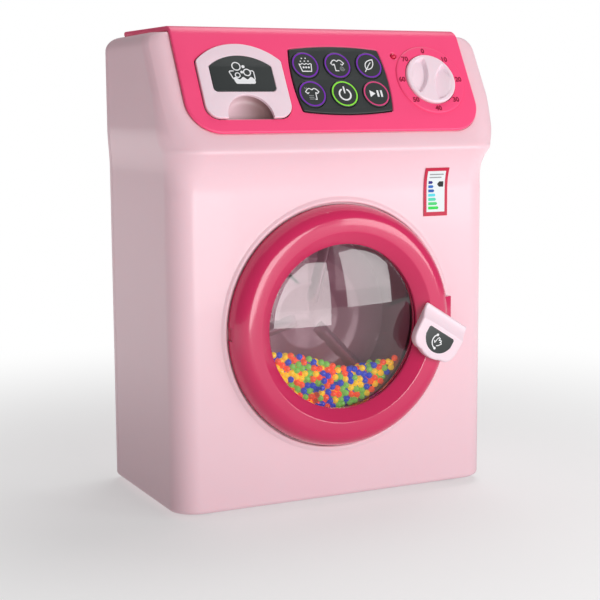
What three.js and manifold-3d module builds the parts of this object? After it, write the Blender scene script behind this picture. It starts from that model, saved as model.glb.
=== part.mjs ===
import * as THREE from 'three';
import { mergeVertices } from 'three/addons/utils/BufferGeometryUtils.js';
import Module from 'manifold-3d';

const wasm = await Module();
wasm.setup();

// Toy washing machine, in millimetres: x to the right, y to the back, z up. Its width follows from the row
// of controls, its height from the door and the fascia above it, its depth from the drum and the drive.

// Clearances and helper sizes shared by the pieces.
const gap = 0.3;
const overrun = 2;
const weld = 0.0004;
const degree = Math.PI / 180;
const quarter = Math.PI / 2;

// Driving sizes of the cabinet.
const wall = 2.6;
const doorHeight = 103;
const doorToLip = 32.4;
const lipOut = 12;
const fasciaTilt = 29.4;
const fasciaProud = 1.8;
const fasciaMargin = 14.1;
const coverProud = 3.4;
const sideFlare = 5.3;
const seamInset = 12.6;
const slope = fasciaTilt * degree;

// Fascia plate and keypad: u runs up the slope from the fold, so it is negative, and depths run inwards.
const plate = {
  thick: 2.2, radius: 19, belowBoard: 7.5, toLip: 9.53, foldRadius: 9, foldSteps: 6, tail: 0.3,
};
const key = {
  radius: 8.3, flangeWidth: 0.7, sideGap: 2.2, offset: 0.3, height: 1.1, edge: 0.4, flangeThick: 1.2,
  travel: 1, steps: 14,
};
key.flangeRadius = key.radius + key.flangeWidth;
key.spacing = 2 * key.flangeRadius + key.sideGap;
key.rowSpacing = 2 * key.flangeRadius + gap;
const keypad = {
  foldMargin: 12.3, sideMargin: 1.5, endMargin: 4.05, height: 0.5, skirtDepth: 1.1, lipWidth: 2,
  steps: 28,
};
keypad.half = key.spacing + key.radius + keypad.sideMargin;
keypad.halfHeight = key.rowSpacing / 2 + key.radius + keypad.endMargin;
keypad.u = -keypad.foldMargin - keypad.halfHeight;
keypad.lipBack = plate.thick + gap;
keypad.back = keypad.lipBack + keypad.skirtDepth;
key.flangeFront = keypad.back + gap;
key.flangeBack = key.flangeFront + key.flangeThick;
const pillowPowerShare = 0.25;
const mat = { sheetThick: 1, padHeight: 0.6, baseRadius: 5, tipRadius: 3.6, margin: 1.5 };
mat.padFront = key.flangeBack + key.travel + gap;
mat.front = mat.padFront + mat.padHeight;
mat.back = mat.front + mat.sheetThick;

// Knob on its raised dial, with the encoder behind it.
const knob = {
  radius: 15.8, height: 2.2, edge: 0.6, flangeWidth: 1.6, flangeSink: 0.6, flangeThick: 2.2, turn: 8,
};
knob.flangeRadius = knob.radius + knob.flangeWidth;
knob.flangeFront = plate.thick + knob.flangeSink;
knob.back = knob.flangeFront + knob.flangeThick;
const knobScoopShares = { reach: 0.392, half: 0.785, centre: 0.532, depth: 0.215 };
const dial = { band: 6.2, height: 0.8, above: 0.4, steps: 28 };
dial.radius = knob.radius + dial.band;
dial.u = keypad.u + dial.above;
const encoder = { half: 6.5, below: 0.6, shaftRadius: 3 };
encoder.front = knob.back + encoder.below;
encoder.back = mat.back;
encoder.shaftEnd = encoder.back - gap;

// Detergent drawer, its sleeve, and the row of controls from left to right.
const drawer = {
  half: 25.4, peakDrop: 11.6, shoulder: 22.3, aboveEnd: 8.6, corner: 8, face: 1.2, thick: 2.2, border: 4.4,
  trayAbove: 2.8, bodyDepth: 35, skin: 1.6, pocketFront: 11.6, scoopRadius: 13.5, scoopDepth: 8.4,
  scoopAbove: 1.2, divider: 1.4, recess: 0.6,
};
const row = { left: 10.8, drawerToKeypad: 5.1, keypadToDial: 6.4, right: 5.3 };
plate.half = drawer.half + keypad.half + dial.radius
  + (row.left + row.drawerToKeypad + row.keypadToDial + row.right) / 2;
drawer.x = row.left + drawer.half - plate.half;
drawer.bodyHalf = drawer.half - drawer.border;
keypad.x = drawer.x + drawer.half + row.drawerToKeypad + keypad.half;
key.x = keypad.x - key.offset;
dial.x = plate.half - row.right - dial.radius;
const sleeve = { skin: 1.4, behind: 3 };
sleeve.front = plate.thick + gap;
sleeve.end = drawer.bodyDepth + sleeve.behind;
const board = {
  sleeveClear: 0.4, dialLap: 2.9, below: 3.2, thick: 1.6, postRadius: 2.3, inset: 2.5, corner: 2,
};
board.left = drawer.x + drawer.bodyHalf + gap + sleeve.skin + board.sleeveClear;
board.right = dial.x + dial.radius - board.dialLap;
board.top = keypad.foldMargin - gap;
board.bottom = keypad.foldMargin + 2 * keypad.halfHeight + board.below;
board.front = mat.back + gap;
plate.drop = board.bottom + plate.belowBoard;
drawer.bottom = plate.drop - drawer.aboveEnd;
drawer.bodyTop = drawer.shoulder - drawer.trayAbove;
drawer.bodyBottom = drawer.bottom - drawer.border;
const sticker = { side: 7, below: 7.6, shoulderDrop: 3.7, aboveScoop: 1.4, corner: 2.5, thick: 0.4 };
sticker.half = drawer.half - sticker.side;
sticker.peakDrop = drawer.peakDrop + sticker.below;
sticker.shoulder = drawer.shoulder + sticker.shoulderDrop;
sticker.bottom = drawer.bottom - drawer.scoopAbove - drawer.scoopRadius - sticker.aboveScoop;
const ledge = { side: 7.7, aboveBoard: 2.5, belowBoard: 0.5, corner: 4 };
const lamp = { apart: 3.55, angle: 141.5, radius: 1.55, height: 0.6, flangeWidth: 0.75, flangeSink: 0.8 };
lamp.x = dial.x + (dial.radius + lamp.apart) * Math.cos(lamp.angle * degree);
lamp.u = dial.u + (dial.radius + lamp.apart) * Math.sin(lamp.angle * degree);
lamp.flangeRadius = lamp.radius + lamp.flangeWidth;
lamp.flangeFront = plate.thick + lamp.flangeSink;

// Door: radii about its centre, h outwards from the front face.
const door = {
  innerRadius: 46.9, band: 22.3, crest: 12, back: 0.3, skin: 2, clear: 0.7, seatDepth: 1.3, rimWidth: 3.5,
  rimHeight: 0.95, steps: 40,
};
door.radius = door.innerRadius + door.band;
door.seatRadius = door.radius + door.clear;
door.rimRadius = door.seatRadius + door.rimWidth;
const ringShares = {
  flank: 0.62, shoulder: 0.35, crestOut: 0.8, crestIn: 0.6, edge: 0.52, bevelMid: 0.5, bevelBulge: 0.03,
  hollowFlank: 0.5, hollowShoulder: 0.3, hollowEdge: 0.45, screw: 0.498, latch: 0.5202,
};
const backRing = { back: 0.5, thick: 1.9, lap: 0.7, bossDrop: 1.8, sink: 0.9 };
backRing.front = backRing.back + backRing.thick;
backRing.outer = door.radius - door.skin - 2 * gap;
backRing.inner = door.innerRadius + backRing.lap;
backRing.screwRadius = door.innerRadius + door.band * ringShares.screw;
backRing.bossTop = door.crest - backRing.bossDrop;
const doorScrewAngles = [55, 125, 235, 305];
const pane = { clear: 0.5, flangeWidth: 4.6, flangeThick: 1.6, bulge: 6.8, thick: 1.8, steps: 32 };
pane.radius = door.innerRadius - pane.clear;
pane.flange = pane.radius + pane.flangeWidth;
pane.flangeBack = backRing.front + gap;
pane.flangeFront = pane.flangeBack + pane.flangeThick;
pane.domeTop = pane.flangeFront + gap + pane.bulge;

// Latch and its handle: the handle's own frame has the pivot at its origin and the straight edge up.
const latch = { u: -3, shaft: 2, armReach: 7, armHalf: 1.7, armSink: 0.9, armThick: 2.2, armAngle: 58 };
latch.x = door.innerRadius + door.band * ringShares.latch;
latch.armFront = wall + latch.armSink;
latch.armBack = latch.armFront + latch.armThick;
const lug = { inward: 3.5, kneeInward: 1, beyond: 0.8, low: -22, high: 13.4, crestDrop: 0.4, front: 7.6 };
lug.left = latch.x - lug.inward;
lug.knee = latch.x - lug.kneeInward;
lug.right = door.radius + lug.beyond;
lug.crest = door.crest - lug.crestDrop;
const handle = {
  half: 15.6, depth: 28, straight: 17, pivot: 7.4, above: 0.4, thick: 5.2, slopeStart: 9.2, tip: 1.6,
  belly: 8.75, openAngle: 58, corner: 1.2,
};
handle.back = door.crest + handle.above;
handle.front = handle.back + handle.thick;
const badge = { side: 6, below: 1.8, aboveEnd: 4.5, corner: 1.6, thick: 0.4, recess: 0.6, bow: 3.2 };
badge.half = handle.half - badge.side;
badge.top = handle.slopeStart + badge.below;
badge.bottom = handle.depth - badge.aboveEnd;

// Drum and beads behind the opening, then the drive and its frame: depths run inwards from the front face.
const drum = {
  beyondWindow: 5.5, skin: 1.6, front: 2.5, lidSkirt: 5.5, depth: 39.5, hubRadius: 8, hubLength: 8,
  finReach: 17, finDepth: 3.3, finHalf: 0.7, finStart: 254, finCount: 3, lifter: 5, lifterHalf: 4, steps: 36,
};
drum.radius = door.innerRadius + drum.beyondWindow;
drum.back = drum.front + drum.depth;
drum.hubBack = drum.back + drum.hubLength;
const finShares = { start: 0.8, deep: 0.9, full: 0.5 };
const pile = { frontClear: 0.4, backClear: 1.4, fillDrop: 17, pitch: 9, bumpHeight: 1.4 };
pile.front = drum.front + drum.skin + drum.finDepth + pile.frontClear;
pile.back = drum.back - drum.skin - drum.lifter - pile.backClear;
const opening = { clear: 1, collar: 2.2, depth: 9 };
opening.radius = drum.radius + opening.clear;
opening.collarRadius = opening.radius + opening.collar;
const hinge = {
  inset: 2.4, h: 2.6, barrel: 1.7, pin: 0.9, earHalf: 3.2, knuckle: 6.5, web: 2.3, plateClear: 1.4,
  plateHalf: 9, plateTop: -0.2, steps: 12,
};
hinge.x = hinge.inset - door.radius;
hinge.plateLeft = hinge.x + hinge.web;
hinge.plateRight = -opening.collarRadius - hinge.plateClear;
const frame = {
  behindHub: 3, plateThick: 2.5, postRadius: 4.2, postClear: 6.67, rearClear: 2, rearThick: 2,
  bossRadius: 7, armHalf: 6, pillarRadius: 3,
};
frame.plateFront = drum.hubBack + frame.behindHub;
frame.plateBack = frame.plateFront + frame.plateThick;
frame.postAt = (opening.collarRadius + frame.postRadius + frame.postClear) * Math.cos(quarter / 2);
const gearTrain = {
  module: 1.5, drumTeeth: 40, smallTeeth: 10, bigTeeth: 28, pressure: 20, backlash: 0.24, slack: 0.12,
  frameClear: 4.5, drumWidth: 6, bigWidth: 4.9, step: 0.6, rimThick: 5, pinRadius: 1.5, idlerAngle: 150,
  motorAngle: 120,
};
gearTrain.drumFront = frame.plateBack + gearTrain.frameClear;
gearTrain.drumBack = gearTrain.drumFront + gearTrain.drumWidth;
gearTrain.bigBack = gearTrain.drumBack + gearTrain.step + gearTrain.bigWidth;
frame.rearFront = gearTrain.bigBack + frame.rearClear;
frame.rearBack = frame.rearFront + frame.rearThick;
const pillarAngles = [20, 90, 215, 300];
const axle = { radius: 3, behindBowl: 1.5, frameShy: 0.9, bossRadius: 5, bossLength: 2.5 };
axle.front = drum.back + axle.behindBowl;
axle.back = frame.rearBack - axle.frameShy;
axle.bossBack = frame.plateBack + axle.bossLength;
const motor = { radius: 10.2, flatHalf: 7.6, length: 25, noseRadius: 3, shaft: 1, rearClear: 8.6 };

// Outline of the cabinet, from what it holds.
const foot = { radius: 8, height: 3, sink: 1, insetX: 20, insetY: 20, taper: 1, steps: 16 };
const baseHeight = foot.height;
const headHalf = plate.half + fasciaMargin;
const bodyHalf = headHalf - sideFlare;
const lipHeight = doorHeight + door.radius + doorToLip;
const topHeight = lipHeight + (plate.drop + plate.toLip) * Math.cos(slope);
const roofHeight = topHeight - coverProud;
const bodyDepth = frame.rearBack + gap + motor.length + motor.rearClear + wall;
const seamDepth = bodyDepth - seamInset;
const fold = { y: (topHeight - lipHeight) * Math.tan(slope) - lipOut, z: topHeight };
const cabinet = {
  frontRadius: 14, backRadius: 10, lipRadius: 20, headRadius: 9, edge: 2.5, roofEdge: 8,
  filletDrop: 26.6, flareBelow: 14.6, flareAbove: 10.4, lipRound: 1.2, ridgeHeight: 3, radiusSettle: 27,
  cornerSteps: 4, filletSteps: 4, edgeSteps: 2, coarseSteps: 1,
};
cabinet.filletStart = lipHeight - cabinet.filletDrop;
cabinet.flareStart = lipHeight - cabinet.flareBelow;
cabinet.flareEnd = lipHeight + cabinet.flareAbove;
const backFlareShare = 0.2;
const headLevelShares = [0.15, 0.4];
const filletPullShare = 0.52;
const filletReachShare = 0.45;
const rimBevelShare = 0.25;
const label = { fromSide: 29.4, width: 15.8, belowLip: 13.6, height: 28.1, thick: 0.4, lift: 0.3 };
label.right = bodyHalf - label.fromSide;
label.left = label.right - label.width;
label.high = lipHeight - label.belowLip;
label.low = label.high - label.height;

// Speaker, batteries and screws on the rear cover.
const speaker = { belowTop: 74.4, radius: 20, depth: 6, magnet: 11, magnetDepth: 5, rim: 1.2 };
speaker.z = topHeight - speaker.belowTop;
const grille = { slots: 5, pitch: 6, inset: 5, slotHalf: 1.1 };
grille.half = speaker.radius - grille.inset;
const cell = { radius: 7.1, length: 49.5, nub: 2.4, nubLength: 1, apart: 0.6, count: 3, firstHeight: 29 };
cell.pitch = 2 * cell.radius + cell.apart;
const hatch = { side: 2.9, below: 3.5, above: 4, thick: 1.8, corner: 5 };
const bay = { endClear: 1.75, contact: 0.8, skin: 1.6, below: 1.9, above: 1.3, spare: 3 };
bay.half = cell.length / 2 + cell.nubLength + bay.endClear + bay.contact + gap;
bay.front = bodyDepth - hatch.thick - 2 * cell.radius - bay.spare;
bay.low = cell.firstHeight - cell.radius - bay.below;
bay.high = cell.firstHeight + (cell.count - 1) * cell.pitch + cell.radius + bay.above;
hatch.half = bay.half + hatch.side;
hatch.low = bay.low - hatch.below;
hatch.high = bay.high + hatch.above;
const tower = { inset: 16, low: 20, belowTop: 84.4, depth: 28, radius: 4.2, outer: 5.6 };
tower.x = bodyHalf - tower.inset;
tower.high = topHeight - tower.belowTop;
tower.meet = bodyDepth - tower.depth;
const screw = { shank: 1.4, head: 2.9, headHeight: 1.9, reach: 8, sink: 4, steps: 8 };

const plastic = (color, roughness = 0.35) => new THREE.MeshStandardMaterial({
  color, roughness, metalness: 0,
});
const metal = (color, roughness = 0.3) => new THREE.MeshStandardMaterial({ color, roughness, metalness: 1 });
const clear = (color, opacity) => new THREE.MeshStandardMaterial({
  color, roughness: 0.05, metalness: 0, transparent: true, opacity,
});
const finish = {
  palePink: plastic('#f9d2de'), hotPink: plastic('#fb5686', 0.3), raspberry: plastic('#d93a68', 0.2),
  blush: plastic('#f2dde4', 0.3), black: plastic('#3a3e3e', 0.4), mauve: plastic('#5b4450', 0.3),
  rubber: plastic('#6d6a6c', 0.8), board: plastic('#2f6b45', 0.5), white: plastic('#ece9e4', 0.5),
  gearWhite: plastic('#e8e6df', 0.45), steel: metal('#b9bcc0'), brass: metal('#c9a659'),
  beads: plastic('#e6b23c', 0.4), label: plastic('#f7f4f6', 0.4), cell: plastic('#2d5f9e', 0.35),
  dark: plastic('#232326', 0.6), clear: clear('#f4f6f8', 0.25), red: clear('#d6121f', 0.8),
};

// A closed geometry becomes a solid: equal corners are merged, collapsed triangles go, faces look out.
function solid(geometry) {
  const plain = geometry.clone();
  for (const extra of ['normal', 'uv', 'color']) plain.deleteAttribute(extra);
  const merged = mergeVertices(plain, weld);
  const points = merged.attributes.position.array;
  const corners = merged.index.array;
  const faces = [];
  let volume = 0;
  const at = (corner) => new THREE.Vector3().fromArray(points, corner * 3);
  for (let i = 0; i < corners.length; i += 3) {
    const [a, b, c] = [corners[i], corners[i + 1], corners[i + 2]];
    if (a === b || b === c || c === a) continue;
    faces.push([a, b, c]);
    volume += at(a).dot(at(b).cross(at(c)));
  }
  const outward = volume < 0 ? faces.map(([a, b, c]) => [a, c, b]) : faces;
  return new wasm.Manifold(new wasm.Mesh({
    numProp: 3, vertProperties: new Float32Array(points), triVerts: new Uint32Array(outward.flat()),
  }));
}

function geometryOf(body) {
  const data = body.getMesh();
  const geometry = new THREE.BufferGeometry();
  geometry.setAttribute('position', new THREE.BufferAttribute(new Float32Array(data.vertProperties), 3));
  geometry.setIndex(new THREE.BufferAttribute(new Uint32Array(data.triVerts), 1));
  geometry.computeVertexNormals();
  return geometry;
}

const joined = (bodies) => bodies.reduce((whole, next) => whole.add(next));
const cut = (body, ...cutters) => cutters.reduce((left, next) => left.subtract(next), body);

// Shapes in a frame whose third axis runs outwards: x across, y up the face, h height above it.
function block(left, right, low, high, back, front) {
  const box = new THREE.BoxGeometry(right - left, high - low, front - back);
  return solid(box.translate((left + right) / 2, (low + high) / 2, (back + front) / 2));
}

function prism(outline, back, front, steps = 5) {
  const shape = outline instanceof THREE.Shape ? outline : new THREE.Shape(outline);
  const extruded = new THREE.ExtrudeGeometry(shape, {
    depth: front - back, bevelEnabled: false, curveSegments: steps,
  });
  return solid(extruded.translate(0, 0, back));
}

function disc(radius, back, front, x = 0, y = 0, steps = 24) {
  const round = new THREE.CylinderGeometry(radius, radius, front - back, steps);
  return solid(round.rotateX(quarter).translate(x, y, (back + front) / 2));
}

const tube = (outer, inner, back, front, x = 0, y = 0, steps = 24) =>
  disc(outer, back, front, x, y, steps).subtract(disc(inner, back - overrun, front + overrun, x, y, steps));

function revolve(profile, x = 0, y = 0, steps = 24) {
  const points = profile.map(([radius, height]) => new THREE.Vector2(radius, height));
  return solid(new THREE.LatheGeometry(points, steps).rotateX(quarter).translate(x, y, 0));
}

function roundedBox(left, right, low, high, radius) {
  const shape = new THREE.Shape();
  shape.moveTo(left + radius, low);
  shape.absarc(right - radius, low + radius, radius, -quarter, 0);
  shape.absarc(right - radius, high - radius, radius, 0, quarter);
  shape.absarc(left + radius, high - radius, radius, quarter, Math.PI);
  shape.absarc(left + radius, low + radius, radius, Math.PI, Math.PI + quarter);
  return shape;
}

// The pieces hang in groups: the cabinet itself, the front face and the sloping fascia.
const machine = new THREE.Group();
const front = new THREE.Group();
front.position.set(0, 0, doorHeight);
front.rotation.x = quarter;
const fascia = new THREE.Group();
fascia.position.set(0, fold.y, fold.z);
fascia.rotation.x = quarter - slope;
machine.add(front, fascia);
machine.updateMatrixWorld(true);

// The same frames for a cutter or a boss that belongs to a piece of the cabinet.
const placed = (body, group) => solid(geometryOf(body).applyMatrix4(group.matrixWorld));

function piece(name, body, material, group = machine) {
  const mesh = new THREE.Mesh(geometryOf(body), material);
  mesh.name = name;
  group.add(mesh);
}

// Cabinet: one loft of rounded outlines from the base to the roof.
const palePlaneY = (level, drop) =>
  fold.y + drop / Math.cos(slope) - (fold.z - level) * Math.tan(slope);

const halfWidthAt = (level) => bodyHalf + (headHalf - bodyHalf)
  * THREE.MathUtils.smoothstep(level, cabinet.flareStart, cabinet.flareEnd);

// Each level: height, front line, how far the walls are drawn in, and the radius of the front corners.
function cabinetLevels(inset) {
  const { edge, roofEdge, filletStart, lipRound, ridgeHeight, radiusSettle, coarseSteps } = cabinet;
  const { frontRadius, lipRadius, headRadius, filletSteps } = cabinet;
  const edgeSteps = inset > 0 ? coarseSteps : cabinet.edgeSteps;
  const levels = [];
  for (let i = 0; i <= edgeSteps; i++) {
    const turn = quarter * i / edgeSteps;
    const rise = edge * (1 - Math.cos(turn));
    const draw = edge * (1 - Math.sin(turn));
    levels.push({ z: baseHeight + inset + rise, y: 0, draw, radius: frontRadius });
  }
  const ridge = { z: lipHeight - fasciaProud * Math.sin(slope) - lipRound };
  ridge.y = palePlaneY(ridge.z, fasciaProud);
  const lip = { y: ridge.y + lipRound, z: ridge.z - lipRound };
  const rise = lip.z - filletStart;
  const sweep = new THREE.CubicBezierCurve(
    new THREE.Vector2(0, filletStart), new THREE.Vector2(0, filletStart + rise * filletPullShare),
    new THREE.Vector2(lip.y + rise * (1 - filletPullShare) * filletReachShare,
      lip.z - rise * (1 - filletPullShare) * filletReachShare),
    new THREE.Vector2(lip.y, lip.z));
  const radiusAt = (t) => THREE.MathUtils.lerp(frontRadius, lipRadius, t);
  for (const [i, point] of sweep.getPoints(filletSteps).entries()) {
    levels.push({ z: point.y, y: point.x, draw: 0, radius: radiusAt(i / filletSteps) });
  }
  const above = { z: ridge.z + ridgeHeight, y: palePlaneY(ridge.z + ridgeHeight, fasciaProud) };
  const nose = new THREE.QuadraticBezierCurve(
    new THREE.Vector2(lip.y, lip.z), new THREE.Vector2(ridge.y, ridge.z),
    new THREE.Vector2(above.y, above.z));
  for (const point of nose.getPoints(edgeSteps).slice(1)) {
    levels.push({ z: point.y, y: point.x, draw: 0, radius: lipRadius });
  }
  const straightEnd = roofHeight - roofEdge;
  const settle = (z) => headRadius + (lipRadius - headRadius) * Math.pow(
    Math.max(0, 1 - (z - above.z) / radiusSettle), 1 + backFlareShare);
  for (const share of headLevelShares) {
    const z = THREE.MathUtils.lerp(above.z, straightEnd, share);
    levels.push({ z, y: palePlaneY(z, fasciaProud), draw: 0, radius: settle(z) });
  }
  for (let i = 0; i <= edgeSteps; i++) {
    const turn = quarter * i / edgeSteps;
    const z = straightEnd + roofEdge * Math.sin(turn) - inset;
    const draw = roofEdge * (1 - Math.cos(turn));
    levels.push({ z, y: palePlaneY(z, fasciaProud), draw, radius: headRadius });
  }
  return levels;
}

function cabinetRing(level, inset) {
  const draw = level.draw + inset;
  const tilt = level.z > lipHeight ? Math.cos(slope) : 1;
  const frontDraw = inset / tilt + (level.z < doorHeight ? level.draw : 0);
  const half = halfWidthAt(level.z) - draw;
  const backHalf = bodyHalf + (halfWidthAt(level.z) - bodyHalf) * backFlareShare - draw;
  const yFront = level.y + frontDraw;
  const yBack = bodyDepth - draw;
  const frontRadius = Math.max(level.radius - inset, wall);
  const backRadius = Math.max(cabinet.backRadius - inset, wall);
  const corners = [
    [half - frontRadius, yFront + frontRadius, frontRadius, -quarter],
    [backHalf - backRadius, yBack - backRadius, backRadius, 0],
    [backRadius - backHalf, yBack - backRadius, backRadius, quarter],
    [frontRadius - half, yFront + frontRadius, frontRadius, Math.PI],
  ];
  return corners.flatMap(([x, y, radius, start]) =>
    Array.from({ length: cabinet.cornerSteps + 1 }, (_, i) => {
      const turn = start + quarter * i / cabinet.cornerSteps;
      return new THREE.Vector3(x + radius * Math.cos(turn), y + radius * Math.sin(turn), level.z);
    }));
}

// Rings of equal count joined side to side, with a fan at each end.
function loft(rings) {
  const count = rings[0].length;
  const points = rings.flat();
  const faces = [];
  for (let ring = 0; ring + 1 < rings.length; ring++) {
    for (let i = 0; i < count; i++) {
      const [a, b] = [ring * count + i, ring * count + (i + 1) % count];
      faces.push(a, b, b + count, a, b + count, a + count);
    }
  }
  for (const [first, reverse] of [[0, true], [(rings.length - 1) * count, false]]) {
    for (let i = 1; i + 1 < count; i++) {
      faces.push(first, first + (reverse ? i + 1 : i), first + (reverse ? i : i + 1));
    }
  }
  const geometry = new THREE.BufferGeometry().setFromPoints(points);
  geometry.setIndex(faces);
  return solid(geometry);
}

const cabinetForm = (inset) => loft(cabinetLevels(inset).map((level) => cabinetRing(level, inset)));

// Slab of the whole cabinet between two depths, to part the front shell from the rear cover.
const depthSlab = (from, to) => placed(
  block(-2 * bodyHalf, 2 * bodyHalf, -topHeight, topHeight, -to, -from), front);

// Fascia outline and the openings in it.
function fasciaOutline(grow, reach) {
  const [side, low, radius] = [plate.half + grow, -plate.drop - grow, plate.radius + grow];
  const shape = new THREE.Shape();
  shape.moveTo(side, reach);
  shape.lineTo(-side, reach);
  shape.absarc(radius - side, low + radius, radius, Math.PI, Math.PI + quarter);
  shape.absarc(side - radius, low + radius, radius, -quarter, 0);
  return shape;
}

const controlOpening = roundedBox(-plate.half + ledge.side, plate.half - ledge.side,
  -board.bottom - ledge.belowBoard, -board.top + ledge.aboveBoard, ledge.corner);

// Arched panel: straight sides and base with a bowed top between two shoulders.
function archOutline(x, { half, peakDrop, shoulder, bottom, corner }, grow) {
  const [side, peak, low] = [half + grow, -peakDrop + grow, -bottom - grow];
  const shape = new THREE.Shape();
  const steps = 10;
  const rise = peak + shoulder - grow;
  const radius = (side * side + rise * rise) / (2 * rise);
  const reach = Math.asin(side / radius);
  for (let i = 0; i <= steps; i++) {
    const turn = quarter - reach + 2 * reach * i / steps;
    const point = [x + radius * Math.cos(turn), peak - radius + radius * Math.sin(turn)];
    if (i === 0) shape.moveTo(...point);
    else shape.lineTo(...point);
  }
  shape.absarc(x - side + corner, low + corner, corner, Math.PI, Math.PI + quarter);
  shape.absarc(x + side - corner, low + corner, corner, -quarter, 0);
  return shape;
}

const pillow = (grow) => Array.from({ length: keypad.steps }, (_, i) => {
  const turn = 2 * Math.PI * i / keypad.steps;
  const bend = (value) => Math.sign(value) * Math.pow(Math.abs(value), pillowPowerShare);
  return new THREE.Vector2(keypad.x + (keypad.half + grow) * bend(Math.cos(turn)),
    keypad.u + (keypad.halfHeight + grow) * bend(Math.sin(turn)));
});

const keyPlaces = [0, 1, 2, 3, 4, 5].map((i) => ({
  name: `key_${i + 1}`,
  x: key.x + (i % 3 - 1) * key.spacing,
  u: keypad.u + (i < 3 ? 1 : -1) * key.rowSpacing / 2,
}));

// Front shell.
function seatCutter(grow) {
  const round = disc(door.seatRadius + grow, -door.seatDepth, lipOut, 0, 0, door.steps);
  const pocket = block(lug.left, lug.right + gap + grow, lug.low - gap - grow, lug.high + gap + grow,
    -door.seatDepth, lipOut);
  return round.add(pocket);
}

function rim() {
  const { seatRadius, rimRadius, rimHeight } = door;
  const [low, edge] = [seatRadius + gap, (rimRadius - seatRadius) * rimBevelShare];
  return revolve([
    [low, -door.seatDepth], [low, rimHeight - gap], [low + edge, rimHeight], [rimRadius, -gap],
    [low, -door.seatDepth],
  ], 0, 0, door.steps);
}

function latchSlot() {
  const turn = latch.armAngle * degree;
  const grow = latch.shaft + gap + gap;
  const slot = new THREE.Shape();
  slot.absarc(0, 0, grow, quarter, 3 * quarter);
  slot.absarc(latch.armReach - latch.armHalf, 0, grow, -quarter, quarter);
  const geometry = new THREE.ExtrudeGeometry(slot, {
    depth: wall + overrun + overrun, bevelEnabled: false, curveSegments: 6,
  });
  return solid(geometry.translate(0, 0, -wall - overrun).rotateZ(turn).translate(latch.x, latch.u, 0));
}

const postPlaces = [[1, 1], [-1, 1], [-1, -1], [1, -1]]
  .map(([a, b]) => [a * frame.postAt, b * frame.postAt]);
const towerPlaces = [-tower.x, tower.x].flatMap((x) => [[x, tower.low], [x, tower.high]]);
const footPlaces = [-1, 1].flatMap((side) => [foot.insetY, bodyDepth - foot.insetY - foot.radius]
  .map((y) => [side * (bodyHalf - foot.insetX), y]));

function frontShell() {
  const hollow = cabinetForm(wall);
  let shell = cabinetForm(0).intersect(depthSlab(-2 * lipOut, seamDepth)).subtract(hollow);
  const collar = tube(opening.collarRadius, opening.radius, -opening.depth, -door.seatDepth,
    0, 0, door.steps);
  const posts = postPlaces.map(([x, y]) => cut(
    disc(frame.postRadius, gap - frame.plateFront, -wall / 2, x, y, screw.steps),
    disc(screw.shank + gap, -frame.plateFront, screw.reach + gap - frame.plateFront, x, y,
      screw.steps)));
  const towers = towerPlaces.map(([x, z]) => cut(
    disc(tower.radius, -tower.meet, lipOut, x, z - doorHeight, screw.steps),
    disc(screw.shank + gap, -tower.meet - overrun, screw.reach + gap - tower.meet, x, z - doorHeight,
      screw.steps)));
  shell = joined([shell, placed(collar, front), ...posts.map((post) => placed(post, front)),
    ...towers.map((one) => placed(one, front).intersect(cabinetForm(wall / 2)))]);
  shell = cut(shell, placed(seatCutter(0), front));
  shell = shell.add(placed(cut(rim(), seatCutter(gap)), front));
  const through = disc(opening.radius, -opening.depth - overrun, lipOut, 0, 0, door.steps);
  shell = cut(shell, placed(through, front), placed(latchSlot(), front));
  const recess = prism(fasciaOutline(gap, topHeight), -plate.thick - gap, lipOut);
  const recessBand = placed(recess, fascia).intersect(depthSlab(-2 * lipOut, fold.y + plate.foldRadius));
  const controls = prism(controlOpening, -2 * lipOut, lipOut);
  shell = cut(shell, recessBand, placed(controls, fascia));
  for (const [x, y] of footPlaces) {
    const socket = disc(foot.radius + gap, baseHeight - overrun, baseHeight + foot.sink, x, y, foot.steps);
    if (y < seamDepth) shell = shell.subtract(socket);
  }
  piece('front_shell', shell, finish.palePink);
}

// Hinge bracket: a short barrel on a web and a foot that stand on the floor of the door's seat.
function hingeBarrel(radius, half) {
  const barrel = new THREE.CylinderGeometry(radius, radius, 2 * half, hinge.steps);
  return solid(barrel.translate(hinge.x, 0, hinge.h));
}

function hingeBracket() {
  const floor = gap - door.seatDepth;
  const { x, h, barrel, earHalf, plateHalf } = hinge;
  const web = block(x - barrel, x + barrel, -earHalf, earHalf, floor, h);
  const neck = block(x, hinge.plateRight, -earHalf, earHalf, floor, hinge.plateTop);
  const footing = block(hinge.plateLeft, hinge.plateRight, -plateHalf, plateHalf, floor, hinge.plateTop);
  const whole = joined([hingeBarrel(barrel, earHalf), web, neck, footing]);
  piece('door_hinge', cut(whole, hingeBarrel(hinge.pin + gap, earHalf + overrun)), finish.raspberry, front);
}

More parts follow.
